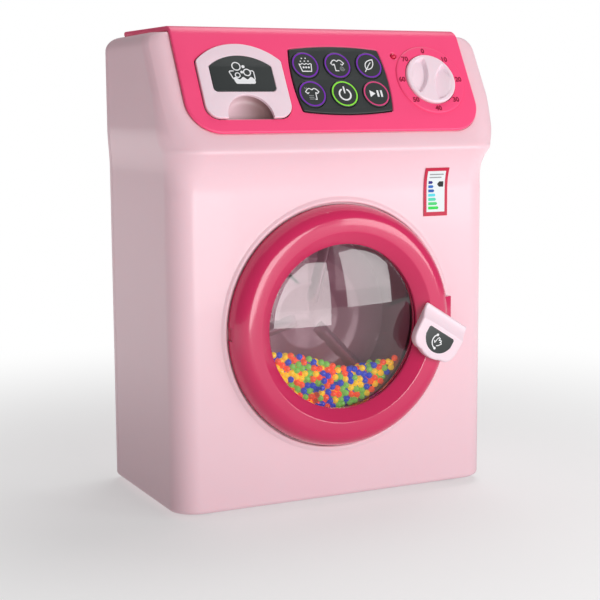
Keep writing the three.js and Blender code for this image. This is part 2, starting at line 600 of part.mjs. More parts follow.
// Rear cover with its grille, battery bay and long screw sockets.
function rearCover() {
  let cover = cabinetForm(0).intersect(depthSlab(seamDepth + gap, bodyDepth + overrun));
  cover = cover.subtract(cabinetForm(wall));
  const shelf = block(-bay.half - bay.skin, bay.half + bay.skin, bay.low - bay.skin, bay.high + bay.skin,
    -bodyDepth + wall / 2, -bay.front + bay.skin);
  cover = cover.add(placedAtFloor(shelf));
  const sockets = towerPlaces.map(([x, z]) => placedAtFloor(
    disc(tower.outer, wall / 2 - bodyDepth, -tower.meet - gap, x, z, screw.steps)));
  cover = joined([cover, ...sockets.map((socket) => socket.intersect(cabinetForm(wall / 2)))]);
  const room = block(-bay.half, bay.half, bay.low, bay.high, -bodyDepth - overrun, -bay.front);
  const lidOutline = roundedBox(-hatch.half - gap, hatch.half + gap, hatch.low - gap, hatch.high + gap,
    hatch.corner);
  const lid = prism(lidOutline, -bodyDepth - overrun, -bodyDepth + hatch.thick + gap);
  cover = cut(cover, placedAtFloor(room), placedAtFloor(lid));
  for (const [x, z] of towerPlaces) {
    const sink = disc(screw.head + gap, -bodyDepth - overrun, screw.sink - bodyDepth, x, z, screw.steps);
    const bore = disc(screw.shank + gap, -bodyDepth - overrun, -tower.meet + overrun, x, z, screw.steps);
    cover = cut(cover, placedAtFloor(sink), placedAtFloor(bore));
  }
  for (let i = 0; i < grille.slots; i++) {
    const across = (i - (grille.slots - 1) / 2) * grille.pitch;
    const drawn = across * grille.half / speaker.radius;
    const reach = Math.sqrt(grille.half ** 2 + grille.slotHalf ** 2 - drawn ** 2);
    const outline = roundedBox(-reach, reach, speaker.z + across - grille.slotHalf,
      speaker.z + across + grille.slotHalf, grille.slotHalf - weld);
    const slot = prism(outline, -bodyDepth - overrun, overrun - bodyDepth + wall, 2);
    cover = cover.subtract(placedAtFloor(slot));
  }
  const ring = tube(speaker.radius + gap + bay.skin, speaker.radius + gap, wall / 2 - bodyDepth,
    speaker.depth + wall - bodyDepth, 0, speaker.z);
  piece('rear_cover', cover.add(placedAtFloor(ring)), finish.palePink);
}

// Heights from the floor instead of from the door's centre, in the front face's frame.
const placedAtFloor = (body) => solid(geometryOf(body).rotateX(quarter));

function controlFascia() {
  const { half, thick, foldRadius, foldSteps, drop } = plate;
  const along = (s, h) => new THREE.Vector2(fold.y - s * Math.sin(slope) - h * Math.cos(slope),
    fold.z - s * Math.cos(slope) + h * Math.sin(slope));
  const bend = (Math.PI / 2 - slope) / 2;
  const setBack = foldRadius * Math.tan(bend);
  const outer = [];
  for (let i = 0; i <= foldSteps; i++) {
    const turn = Math.PI - slope - 2 * bend * i / foldSteps;
    outer.push(new THREE.Vector2(fold.y + setBack + foldRadius * Math.cos(turn),
      fold.z - foldRadius + foldRadius * Math.sin(turn)));
  }
  const end = seamDepth - plate.tail;
  const under = roofHeight + gap;
  const innerFoldY = fold.y + thick / Math.cos(slope) - (fold.z - under) * Math.tan(slope);
  const section = [along(drop + overrun, 0), ...outer, new THREE.Vector2(end, fold.z),
    new THREE.Vector2(end, under), new THREE.Vector2(innerFoldY, under), along(drop + overrun, -thick)];
  const bar = new THREE.ExtrudeGeometry(new THREE.Shape(section), { depth: 2 * half, bevelEnabled: false });
  const sheet = solid(bar.translate(0, 0, -half).rotateY(quarter).rotateX(quarter));
  const mask = prism(fasciaOutline(0, bodyDepth), -bodyDepth, lipOut);
  let panel = sheet.intersect(placed(mask, fascia));
  const local = (body) => placed(body, fascia);
  panel = panel.add(local(disc(dial.radius, -thick / 2, dial.height, dial.x, dial.u, dial.steps)));
  for (const x of [board.left + board.inset, board.right - board.inset]) {
    for (const u of [-board.top - board.inset, -board.bottom + board.inset]) {
      panel = panel.add(local(disc(board.postRadius, gap - board.front, -thick / 2, x, u, screw.steps)));
    }
  }
  panel = cut(panel,
    local(prism(archOutline(drawer.x, drawer, gap), -2 * thick, lipOut)),
    local(prism(pillow(gap), -2 * thick, lipOut)),
    local(disc(knob.radius + gap, -2 * thick, lipOut, dial.x, dial.u, dial.steps)),
    local(disc(lamp.radius + gap, -2 * thick, lipOut, lamp.x, lamp.u, screw.steps)));
  piece('control_fascia', panel, finish.hotPink);
}

function controls() {
  const panel = joined([prism(pillow(0), -keypad.back, keypad.height),
    prism(pillow(keypad.lipWidth), -keypad.back, -keypad.lipBack)]);
  piece('button_panel', cut(panel, ...keyPlaces.map(({ x, u }) =>
    disc(key.radius + gap, -2 * keypad.back, lipOut, x, u, key.steps))), finish.black, fascia);
  for (const { name, x, u } of keyPlaces) {
    piece(name, revolve([[0, -key.flangeBack], [key.flangeRadius, -key.flangeBack],
      [key.flangeRadius, -key.flangeFront], [key.radius, -key.flangeFront],
      [key.radius, key.height - key.edge], [key.radius - key.edge, key.height], [0, key.height]],
    x, u, key.steps), finish.black, fascia);
  }
  const sheet = prism(pillow(mat.margin), -mat.back, -mat.front);
  const pads = keyPlaces.map(({ x, u }) => revolve([[0, -mat.back], [mat.baseRadius, -mat.back],
    [mat.baseRadius, -mat.front], [mat.tipRadius, -mat.padFront], [0, -mat.padFront]], x, u, screw.steps));
  piece('keypad_mat', joined([sheet, ...pads]), finish.rubber, fascia);
  const card = prism(roundedBox(board.left, board.right, -board.bottom, -board.top, board.corner),
    -board.front - board.thick, -board.front);
  piece('control_board', card, finish.board, fascia);
  const housing = block(dial.x - encoder.half, dial.x + encoder.half, dial.u - encoder.half,
    dial.u + encoder.half, -encoder.back, -encoder.front);
  const shaftRoom = disc(encoder.shaftRadius + gap, -2 * encoder.back, 0, dial.x, dial.u, key.steps);
  piece('dial_encoder', cut(housing, shaftRoom), finish.dark, fascia);
  piece('knob', knobBody(), finish.blush, fascia);
  const light = revolve([[0, -encoder.back], [lamp.flangeRadius, -encoder.back],
    [lamp.flangeRadius, -lamp.flangeFront], [lamp.radius, -lamp.flangeFront], [lamp.radius, 0],
    [lamp.radius / 2, lamp.height], [0, lamp.height]], lamp.x, lamp.u, screw.steps);
  piece('status_led', light, finish.red, fascia);
}

// Knob: a low disc with two dished finger scoops that leave a waisted bar between them.
function knobBody() {
  const { radius, flangeRadius, flangeFront, back, height: top, edge } = knob;
  const body = revolve([[0, -back], [flangeRadius, -back], [flangeRadius, -flangeFront],
    [radius, -flangeFront], [radius, top - edge], [radius - edge, top], [0, top]], 0, 0, dial.steps);
  const { reach, half, centre, depth } = knobScoopShares;
  const scoops = [-1, 1].map((side) => solid(new THREE.SphereGeometry(radius, 12, 8)
    .scale(reach, half, depth).translate(side * radius * centre, 0, top)));
  const stem = disc(encoder.shaftRadius, -encoder.shaftEnd, -knob.back / 2, 0, 0, screw.steps);
  const turned = geometryOf(cut(body.add(stem), ...scoops)).rotateZ(knob.turn * degree);
  return solid(turned.translate(dial.x, dial.u, 0));
}

function drawerPieces() {
  const { x, bodyHalf: half, bodyTop, bodyBottom, bodyDepth: depth, skin, face } = drawer;
  const front = prism(archOutline(x, drawer, 0), face - drawer.thick, face);
  const tray = block(x - half, x + half, -bodyBottom, -bodyTop, -depth, face - drawer.thick / 2);
  const shelf = prism(roundedBox(x - drawer.scoopRadius - skin, x + drawer.scoopRadius + skin,
    -drawer.bottom, -bodyTop - drawer.corner, skin), -drawer.scoopDepth - skin, face - drawer.thick / 2);
  const room = (from, to) => block(from, to, -bodyBottom + skin, -bodyTop + overrun, skin - depth,
    -drawer.pocketFront);
  const scoop = new THREE.Shape();
  scoop.absarc(x, -drawer.bottom + drawer.scoopAbove, drawer.scoopRadius, 0, Math.PI);
  const sticky = prism(archOutline(x, sticker, gap), face - drawer.recess, face + overrun);
  const body = cut(joined([front, tray, shelf]), room(x - half + skin, x - drawer.divider / 2),
    room(x + drawer.divider / 2, x + half - skin),
    prism(scoop, -drawer.scoopDepth, face + overrun, 12), sticky);
  piece('drawer', body, finish.blush, fascia);
  const sheet = prism(archOutline(x, sticker, 0), face - gap, face + sticker.thick - gap);
  piece('drawer_sticker', sheet, finish.black, fascia);
  const [inner, outer] = [half + gap, half + gap + sleeve.skin];
  const casing = block(x - outer, x + outer, -bodyBottom - gap - sleeve.skin, -bodyTop + gap + sleeve.skin,
    -sleeve.end, -sleeve.front);
  const trayRoom = block(x - inner, x + inner, -bodyBottom - gap, -bodyTop + gap,
    sleeve.skin - sleeve.end, 0);
  const scoopHalf = drawer.scoopRadius + skin + gap;
  const scoopRoom = prism(roundedBox(x - scoopHalf, x + scoopHalf, -drawer.bottom - gap, -bodyTop, skin),
    -drawer.scoopDepth - skin - gap, 0);
  piece('drawer_sleeve', cut(casing, trayRoom, scoopRoom), finish.white, fascia);
}

// Door ring: a hollow moulding with a crest, a lug for the handle and lugs for the hinge pin.
function ringProfile() {
  const { radius, innerRadius, crest, back, skin } = door;
  const share = ringShares;
  const crestIn = innerRadius + crest * share.crestIn;
  const crestOut = radius - crest * share.crestOut;
  const edge = crest * share.edge;
  const point = (r, h) => new THREE.Vector2(r, h);
  const flank = new THREE.CubicBezierCurve(point(radius, back), point(radius, crest * share.flank),
    point(radius - crest * share.shoulder, crest), point(crestOut, crest));
  const bevelMiddle = point(crestIn + (innerRadius - crestIn) * share.bevelMid,
    crest + (edge - crest) * share.bevelMid + crest * share.bevelBulge);
  const face = [...flank.getPoints(4), point(crestIn, crest), bevelMiddle, point(innerRadius, edge)];
  const inside = new THREE.CubicBezierCurve(point(radius - skin, back + skin),
    point(radius - skin, crest * share.hollowFlank),
    point(radius - skin - crest * share.hollowShoulder, crest - skin), point(crestOut, crest - skin));
  const hollow = [point(radius - skin, back), ...inside.getPoints(2), point(crestIn, crest - skin - gap),
    point(innerRadius + skin, crest * share.hollowEdge), point(innerRadius, pane.flangeFront + gap)];
  return { face, hollow };
}

// Lug: a wedge whose face falls from the crest to its free edge.
function lugWedge() {
  const corner = (x, h) => new THREE.Vector2(x, h);
  const section = [corner(lug.left, door.back), corner(lug.right, door.back), corner(lug.right, lug.front),
    corner(lug.knee, lug.crest), corner(lug.left, lug.crest)];
  const bar = new THREE.ExtrudeGeometry(new THREE.Shape(section), {
    depth: lug.high - lug.low, bevelEnabled: false,
  });
  return solid(bar.rotateX(quarter).translate(0, lug.high, 0));
}

const turnedAbout = (body, angle) => solid(geometryOf(body).rotateZ(angle * degree));

function doorRing() {
  const { face, hollow } = ringProfile();
  const closed = [...face, ...[...hollow].reverse(), face[0]].map((point) => [point.x, point.y]);
  const shell = revolve(closed, 0, 0, door.steps);
  const filled = (line) => revolve([[0, 0], ...line.map((point) => [point.x, point.y]),
    [0, line.at(-1).y]], 0, 0, door.steps);
  const [inside, under] = [filled(face), filled(hollow)];
  const tabBody = cut(lugWedge(), under);
  const bosses = doorScrewAngles.map((angle) => turnedAbout(cut(
    disc(screw.head, backRing.front + gap, backRing.bossTop, backRing.screwRadius, 0, screw.steps),
    disc(screw.shank + gap, 0, screw.reach, backRing.screwRadius, 0, screw.steps)), angle));
  const pivot = disc(latch.shaft + gap + door.skin, backRing.front + gap, door.crest - door.skin / 2,
    latch.x, latch.u, screw.steps);
  const knuckles = [-1, 1].map((side) => hingeKnuckle(side).intersect(inside));
  let ring = joined([shell, tabBody, ...bosses, pivot, ...knuckles]);
  const notchHalf = hinge.earHalf + gap;
  const notchTop = hinge.h + hinge.barrel + gap;
  const pinBore = hingeBarrel(hinge.pin + gap, notchHalf + hinge.knuckle + overrun);
  const notch = block(-bodyHalf, hinge.x + hinge.barrel + gap, -notchHalf, notchHalf, -overrun, notchTop);
  ring = cut(ring, pinBore, notch,
    disc(latch.shaft + gap, -overrun, bodyHalf, latch.x, latch.u, key.steps));
  piece('door_ring', ring, finish.raspberry, front);
}

function hingeKnuckle(side) {
  const near = hinge.earHalf + gap;
  const far = near + hinge.knuckle;
  const [low, high] = side > 0 ? [near, far] : [-far, -near];
  const barrel = new THREE.CylinderGeometry(hinge.barrel, hinge.barrel, far - near, hinge.steps)
    .translate(hinge.x, side * (near + far) / 2, hinge.h);
  const root = block(hinge.x - hinge.barrel, hinge.x + hinge.web, low, high, hinge.h, door.crest);
  return solid(barrel).add(root);
}

function doorPieces() {
  doorRing();
  const { outer, inner, back, front: top, screwRadius } = backRing;
  const headBack = top - backRing.sink;
  const plateBody = tube(outer, inner, back, top, 0, 0, door.steps);
  const holes = doorScrewAngles.flatMap((angle) => [
    turnedAbout(disc(screw.shank + gap, -overrun, overrun + top, screwRadius, 0, screw.steps), angle),
    turnedAbout(disc(screw.head + gap, -overrun, headBack, screwRadius, 0, screw.steps), angle)]);
  const hingeHalf = hinge.knuckle + hinge.earHalf + 2 * gap;
  const hingeRoom = block(-bodyHalf, hinge.x + hinge.web + gap, -hingeHalf, hingeHalf, -overrun, door.crest);
  const cam = disc(latch.shaft + gap + gap, -overrun, door.crest, latch.x, latch.u, key.steps);
  piece('door_inner_ring', cut(plateBody, ...holes, hingeRoom, cam), finish.raspberry, front);
  piece('door_window', paneBody(), finish.clear, front);
  for (const [i, angle] of doorScrewAngles.entries()) {
    const body = joined([disc(screw.shank, back, screw.reach - gap, screwRadius, 0, screw.steps),
      disc(screw.head, back, headBack - gap, screwRadius, 0, screw.steps)]);
    piece(`door_screw_${i + 1}`, turnedAbout(body, angle), finish.steel, front);
  }
  hingeBracket();
  piece('hinge_pin', hingeBarrel(hinge.pin, hinge.knuckle + hinge.earHalf), finish.steel, front);
}

// Window: a shallow spherical dome on a flat flange.
function paneBody() {
  const steps = 4;
  const start = pane.flangeFront + gap;
  const dome = (top, radius, low) => {
    const rise = top - low;
    const ball = (radius * radius + rise * rise) / (2 * rise);
    return Array.from({ length: steps + 1 }, (_, i) => {
      const turn = Math.asin(radius / ball) * (1 - i / steps);
      return [ball * Math.sin(turn), top - ball + ball * Math.cos(turn)];
    });
  };
  const outer = dome(pane.domeTop, pane.radius, start);
  const inner = dome(pane.domeTop - pane.thick, pane.radius - pane.thick, pane.flangeBack).reverse();
  outer[outer.length - 1][0] = 0;
  inner[0][0] = 0;
  return revolve([...inner, [pane.flange, pane.flangeBack], [pane.flange, pane.flangeFront],
    [pane.radius, pane.flangeFront], ...outer], 0, 0, pane.steps);
}

// Handle in its own frame: straight edge up, belly down, pivot at the origin.
function shield(grow) {
  const { half, depth, straight, pivot, belly, corner } = handle;
  const top = pivot + grow;
  const [side, bottom] = [half + grow - corner, pivot - depth + corner + corner];
  const waist = pivot - straight;
  const shape = new THREE.Shape();
  shape.moveTo(-side, top);
  shape.absarc(-side, top - corner, corner, quarter, Math.PI);
  shape.lineTo(-side - corner / 2, waist);
  shape.quadraticCurveTo(-side, waist - belly, belly - half, bottom);
  shape.quadraticCurveTo(0, pivot - depth - grow - corner, half - belly, bottom);
  shape.quadraticCurveTo(side, waist - belly, side + corner / 2, waist);
  shape.absarc(side, top - corner, corner, 0, quarter);
  return shape;
}

function badgeShape(grow) {
  const { half, top, bottom, corner, bow } = badge;
  const [side, high, low] = [half + grow, handle.pivot - top + grow, handle.pivot - bottom - grow];
  const shape = new THREE.Shape();
  shape.absarc(side - corner, high - corner, corner, 0, quarter);
  shape.absarc(corner - side, high - corner, corner, quarter, Math.PI);
  shape.lineTo(-side, low + bow);
  shape.quadraticCurveTo(0, low - bow, side, low + bow);
  return shape;
}

function latchPieces() {
  const turned = (body) => solid(geometryOf(body).rotateZ(handle.openAngle * degree - quarter)
    .translate(latch.x, latch.u, 0));
  const grip = prism(shield(0), handle.back, handle.front);
  const hollowTop = handle.pivot + overrun;
  const wedge = new THREE.Shape();
  wedge.moveTo(hollowTop, handle.back + handle.tip);
  wedge.quadraticCurveTo(handle.pivot - handle.slopeStart / 2, handle.back + handle.tip + gap,
    handle.pivot - handle.slopeStart, handle.front + gap);
  wedge.lineTo(hollowTop, handle.front + overrun);
  const ramp = new THREE.ExtrudeGeometry(wedge, {
    depth: 4 * handle.half, bevelEnabled: false, curveSegments: 8,
  });
  ramp.translate(0, 0, -2 * handle.half);
  ramp.applyMatrix4(new THREE.Matrix4().set(0, 0, 1, 0, 1, 0, 0, 0, 0, 1, 0, 0, 0, 0, 0, 1));
  const face = prism(badgeShape(gap), handle.front - badge.recess, handle.front + overrun);
  const socket = disc(latch.shaft + gap, handle.back - overrun, handle.back + overrun, 0, 0, key.steps);
  piece('latch_handle', turned(cut(grip, solid(ramp), face, socket)), finish.blush, front);
  piece('latch_sticker', turned(prism(badgeShape(0), handle.front - gap, handle.front + badge.thick - gap)),
    finish.black, front);
  const shaft = disc(latch.shaft, -latch.armBack, handle.back + overrun - gap, 0, 0, key.steps);
  const arm = block(0, latch.armReach, -latch.armHalf, latch.armHalf, -latch.armBack, -latch.armFront);
  const cam = turnedAbout(shaft.add(arm), latch.armAngle);
  piece('latch_cam', solid(geometryOf(cam).translate(latch.x, latch.u, 0)), finish.white, front);
}

function drumPieces() {
  const { radius, skin, front: face, lidSkirt, back, steps } = drum;
  const lid = cut(disc(radius, -face - lidSkirt, -face, 0, 0, steps),
    disc(radius - skin, -face - lidSkirt - overrun, -face - skin, 0, 0, steps));
  const fins = Array.from({ length: drum.finCount }, (_, i) => {
    const blade = new THREE.Shape();
    const [far, depth] = [radius - skin / 2, drum.finDepth];
    blade.moveTo(far - drum.finReach, skin / 2);
    blade.quadraticCurveTo(far - drum.finReach * finShares.start, -depth * finShares.deep,
      far - drum.finReach * finShares.full, -depth);
    blade.lineTo(far, -depth);
    blade.lineTo(far, skin / 2);
    const upright = new THREE.ExtrudeGeometry(blade, {
      depth: 2 * drum.finHalf, bevelEnabled: false, curveSegments: 5,
    });
    upright.translate(0, 0, -drum.finHalf).rotateX(quarter).translate(0, 0, -face - skin);
    return solid(upright.rotateZ((drum.finStart + 360 * i / drum.finCount) * degree));
  });
  piece('drum_front', joined([lid, ...fins]), finish.clear, front);
  const wallFront = -face - lidSkirt - gap;
  const bowl = cut(disc(radius, -back, wallFront, 0, 0, steps),
    disc(radius - skin, skin - back, 0, 0, 0, steps));
  const hub = disc(drum.hubRadius, -drum.hubBack, skin / 2 - back, 0, 0, key.steps);
  const lifters = Array.from({ length: drum.finCount }, (_, i) => {
    const ridge = new THREE.Shape([new THREE.Vector2(-drum.lifterHalf, 0),
      new THREE.Vector2(drum.lifterHalf, 0), new THREE.Vector2(0, drum.lifter)]);
    const reach = radius - skin / 2 - drum.hubRadius;
    const bar = new THREE.ExtrudeGeometry(ridge, { depth: reach, bevelEnabled: false });
    bar.rotateX(quarter).rotateZ(quarter).translate(drum.hubRadius, 0, skin / 2 - back);
    return solid(bar.rotateZ((drum.finStart + 360 * (i + 1 / 2) / drum.finCount) * degree));
  });
  const bore = disc(axle.radius + gap, -drum.hubBack - overrun, gap - axle.front, 0, 0, key.steps);
  piece('drum_back', cut(joined([bowl, hub, ...lifters]), bore), finish.mauve, front);
  piece('bead_fill', beadPile(), finish.beads, front);
  piece('drum_axle', disc(axle.radius, -axle.back, -axle.front, 0, 0, key.steps), finish.steel, front);
}

// Loose beads as one heap: a drum-shaped body whose front and top faces carry a hexagonal pack of bumps.
function bumpySheet(width, depth, thick) {
  const [stepX, stepY] = [pile.pitch / 2, pile.pitch * Math.sqrt(3) / 4];
  const [columns, rows] = [Math.ceil(width / stepX), Math.ceil(depth / stepY)];
  const points = [];
  const faces = [];
  const at = (column, row) => row * (columns + 1) + column;
  for (let row = 0; row <= rows; row++) {
    for (let column = 0; column <= columns; column++) {
      const [x, y] = [column * stepX - width / 2, row * stepY - depth / 2];
      const bump = Math.cos(Math.PI * column) * Math.cos(Math.PI * row / 2);
      points.push(new THREE.Vector3(x, y, pile.bumpHeight * bump - pile.bumpHeight));
    }
  }
  const floor = points.map((point) => new THREE.Vector3(point.x, point.y, -thick));
  const shift = points.length;
  for (let row = 0; row < rows; row++) {
    for (let column = 0; column < columns; column++) {
      const [a, b] = [at(column, row), at(column + 1, row)];
      const [c, d] = [at(column + 1, row + 1), at(column, row + 1)];
      faces.push(a, b, c, a, c, d);
      faces.push(a + shift, c + shift, b + shift, a + shift, d + shift, c + shift);
    }
  }
  const edge = [];
  for (let column = 0; column < columns; column++) edge.push(at(column, 0));
  for (let row = 0; row < rows; row++) edge.push(at(columns, row));
  for (let column = columns; column > 0; column--) edge.push(at(column, rows));
  for (let row = rows; row > 0; row--) edge.push(at(0, row));
  edge.forEach((a, i) => {
    const b = edge[(i + 1) % edge.length];
    faces.push(a, a + shift, b + shift, a, b + shift, b);
  });
  const geometry = new THREE.BufferGeometry().setFromPoints([...points, ...floor]);
  geometry.setIndex(faces);
  return geometry;
}

function beadPile() {
  const room = drum.radius - drum.skin - gap;
  const round = disc(room, -pile.back, -pile.front, 0, 0, drum.steps);
  const faceSheet = solid(bumpySheet(2 * room, room, pile.back - pile.front + pile.bumpHeight)
    .translate(0, -pile.fillDrop - room / 2, -pile.front));
  const topSheet = solid(bumpySheet(2 * room, pile.back - pile.front + pile.pitch, room)
    .rotateX(-quarter).translate(0, -pile.fillDrop, -(pile.back + pile.front) / 2));
  return round.intersect(faceSheet).intersect(topSheet);
}

// Gears: involute flanks between the root and tip circles.
function gearOutline(teeth, turn = 0) {
  const { module, pressure, backlash } = gearTrain;
  const pitch = module * teeth / 2;
  const base = pitch * Math.cos(pressure * degree);
  const tip = pitch + module;
  const root = pitch - module - module / 4;
  const involute = (radius) => {
    const unrolled = Math.acos(base / Math.max(base, radius));
    return Math.tan(unrolled) - unrolled;
  };
  const halfTooth = Math.PI / (2 * teeth) - backlash / (2 * pitch);
  const atRadius = (radius) => halfTooth + involute(pitch) - involute(radius);
  const small = teeth < 2 * gearTrain.smallTeeth;
  const start = small ? Math.max(base, root) : root;
  const flank = small ? [start, pitch, tip] : [start, tip];
  const outline = [];
  for (let tooth = 0; tooth < teeth; tooth++) {
    const centre = turn + 2 * Math.PI * tooth / teeth;
    const put = (radius, angle) => outline.push(new THREE.Vector2(
      radius * Math.cos(centre + angle), radius * Math.sin(centre + angle)));
    if (root < start) put(root, -atRadius(start));
    for (const radius of flank) put(radius, -atRadius(radius));
    for (const radius of [...flank].reverse()) put(radius, atRadius(radius));
    if (root < start) put(root, atRadius(start));
  }
  return outline;
}

const centreDistance = (a, b) => gearTrain.module * (a + b) / 2 + gearTrain.slack;
const idlerReach = centreDistance(gearTrain.drumTeeth, gearTrain.smallTeeth);
const motorReach = centreDistance(gearTrain.bigTeeth, gearTrain.smallTeeth);
const idler = {
  x: idlerReach * Math.cos(gearTrain.idlerAngle * degree),
  y: idlerReach * Math.sin(gearTrain.idlerAngle * degree),
};
const pinion = {
  x: idler.x + motorReach * Math.cos(gearTrain.motorAngle * degree),
  y: idler.y + motorReach * Math.sin(gearTrain.motorAngle * degree),
};

// A gear turned so that one of its gaps faces a tooth of its neighbour.
const gapTowards = (teeth, angle) => angle * degree + Math.PI / teeth;

function geared(teeth, turn, back, front, x, y) {
  const shape = new THREE.Shape(gearOutline(teeth, turn));
  const extruded = new THREE.ExtrudeGeometry(shape, { depth: front - back, bevelEnabled: false });
  return solid(extruded.translate(x, y, back));
}

function drivePieces() {
  const { drumTeeth, smallTeeth, bigTeeth, drumFront, drumBack, bigBack, step } = gearTrain;
  const { rimThick, pinRadius, idlerAngle, motorAngle } = gearTrain;
  const hubs = (x, y, radius, back, front) => disc(radius, back, front, x, y, key.steps);
  const drumGear = geared(drumTeeth, idlerAngle * degree, -drumBack, -drumFront, 0, 0);
  const rimInner = gearTrain.module * drumTeeth / 2 - rimThick;
  const webbing = tube(rimInner, axle.bossRadius + wall, -drumBack - overrun, -drumFront - wall);
  const drumBore = hubs(0, 0, axle.radius + gap, -2 * drumBack, 0);
  piece('drum_gear', cut(drumGear, webbing, drumBore), finish.gearWhite, front);
  const small = geared(smallTeeth, gapTowards(smallTeeth, idlerAngle + 180), -drumBack - step, -drumFront,
    idler.x, idler.y);
  const big = geared(bigTeeth, motorAngle * degree, -bigBack, -drumBack - step, idler.x, idler.y);
  const pinBore = hubs(idler.x, idler.y, pinRadius + gap, -2 * bigBack, 0);
  piece('compound_gear', cut(joined([small, big]), pinBore), finish.gearWhite, front);
  const pin = hubs(idler.x, idler.y, pinRadius, gap + gap - frame.rearBack, -frame.plateFront - gap);
  piece('idler_pin', pin, finish.steel, front);
  const drive = geared(smallTeeth, gapTowards(smallTeeth, motorAngle + 180), -bigBack, -drumBack - step,
    pinion.x, pinion.y);
  const shaftBore = hubs(pinion.x, pinion.y, motor.shaft + gap, -2 * bigBack, 0);
  piece('motor_pinion', cut(drive, shaftBore), finish.brass, front);
  const canFront = -frame.rearBack - gap;
  const can = hubs(pinion.x, pinion.y, motor.radius, canFront - motor.length, canFront)
    .intersect(block(pinion.x - motor.radius, pinion.x + motor.radius, pinion.y - motor.flatHalf,
      pinion.y + motor.flatHalf, -bodyDepth, 0));
  const nose = hubs(pinion.x, pinion.y, motor.noseRadius, -frame.rearBack - overrun, -frame.rearFront - gap);
  const shaft = hubs(pinion.x, pinion.y, motor.shaft, -frame.rearBack - overrun, -drumBack);
  piece('motor', joined([can, nose, shaft]), finish.steel, front);
}

// Gear frame: a front and a rear plate on pillars, with arms to the four posts of the front shell.
function gearFrame() {
  const bar = (x, y, half, back, front) => {
    const [length, turn] = [Math.hypot(x, y), Math.atan2(y, x)];
    const shape = new THREE.Shape();
    shape.absarc(0, 0, half, quarter, 3 * quarter);
    shape.absarc(length, 0, half, -quarter, quarter);
    const geometry = new THREE.ExtrudeGeometry(shape, {
      depth: front - back, bevelEnabled: false, curveSegments: 3,
    });
    return solid(geometry.translate(0, 0, back).rotateZ(turn));
  };
  const arms = postPlaces.map(([x, y]) => bar(x, y, frame.armHalf, -frame.plateBack, -frame.plateFront));
  const reach = bar(idler.x, idler.y, frame.bossRadius, -frame.plateBack, -frame.plateFront);
  const holes = postPlaces.map(([x, y]) =>
    disc(screw.shank + gap, -bodyDepth, 0, x, y, screw.steps));
  const bossRadius = frame.bossRadius + frame.pillarRadius;
  const boss = disc(bossRadius, -axle.bossBack, -frame.plateFront, 0, 0, key.steps);
  const rear = joined([bar(pinion.x, pinion.y, motor.radius, -frame.rearBack, -frame.rearFront),
    bar(idler.x, idler.y, frame.bossRadius, -frame.rearBack, -frame.rearFront)]);
  const pillarAt = drumPillar();
  const pillars = pillarAt.map(([x, y]) =>
    disc(frame.pillarRadius, -frame.rearBack, -frame.plateFront, x, y, screw.steps));
  const links = pillarAt.flatMap(([x, y]) => [
    bar(x, y, frame.pillarRadius + gap, -frame.plateBack, -frame.plateFront),
    bar(x, y, frame.pillarRadius + gap, -frame.rearBack, -frame.rearFront)]);
  const body = joined([...arms, reach, boss, rear, ...pillars, ...links]);
  const bores = [disc(axle.radius + gap, -bodyDepth, 0, 0, 0, key.steps),
    disc(gearTrain.pinRadius + gap, -bodyDepth, 0, idler.x, idler.y, key.steps),
    disc(motor.noseRadius + gap, -bodyDepth, -gearTrain.drumBack, pinion.x, pinion.y, key.steps)];
  piece('gear_frame', cut(body, ...holes, ...bores), finish.white, front);
}

const drumPillar = () => pillarAngles.map((angle) => {
  const tipRadius = gearTrain.module * gearTrain.drumTeeth / 2 + gearTrain.module;
  const reach = tipRadius + frame.pillarRadius + wall;
  return [reach * Math.cos(angle * degree), reach * Math.sin(angle * degree)];
});

function powerPieces() {
  const centreY = bay.front + gap + cell.radius;
  for (let i = 0; i < cell.count; i++) {
    const z = cell.firstHeight + i * cell.pitch;
    const side = i % 2 === 0 ? 1 : -1;
    const [end, tip] = [cell.length / 2, cell.length / 2 + cell.nubLength];
    const body = revolve([[0, -end], [cell.radius, -end], [cell.radius, end], [cell.nub, end],
      [cell.nub, tip], [0, tip]], 0, 0, key.steps);
    const lying = geometryOf(body).rotateY(side * quarter).translate(0, centreY, z);
    piece(`cell_${i + 1}`, solid(lying), finish.cell);
  }
  for (const [name, side] of [['contact_left', -1], ['contact_right', 1]]) {
    const [a, b] = [side * (bay.half - gap), side * (bay.half - gap - bay.contact)];
    const strip = block(Math.min(a, b), Math.max(a, b), bay.low + bay.skin, bay.high - bay.skin,
      -bay.front - 2 * cell.radius, -bay.front - gap);
    piece(name, placedAtFloor(strip), finish.steel);
  }
  const lid = prism(roundedBox(-hatch.half, hatch.half, hatch.low, hatch.high, hatch.corner),
    -bodyDepth, -bodyDepth + hatch.thick);
  piece('battery_door', placedAtFloor(lid), finish.palePink);
  const { rim: edge, radius, depth, magnet, magnetDepth } = speaker;
  const cone = revolve([[0, edge], [magnet, edge + depth], [magnet, depth + magnetDepth],
    [0, depth + magnetDepth]], 0, 0, key.steps);
  const basket = revolve([[0, edge], [radius - edge, 0], [radius, 0], [radius, edge], [magnet, depth],
    [0, depth]], 0, 0);
  const sounder = geometryOf(basket.add(cone)).translate(0, speaker.z, wall + gap - bodyDepth);
  piece('speaker', placedAtFloor(solid(sounder)), finish.dark);
}

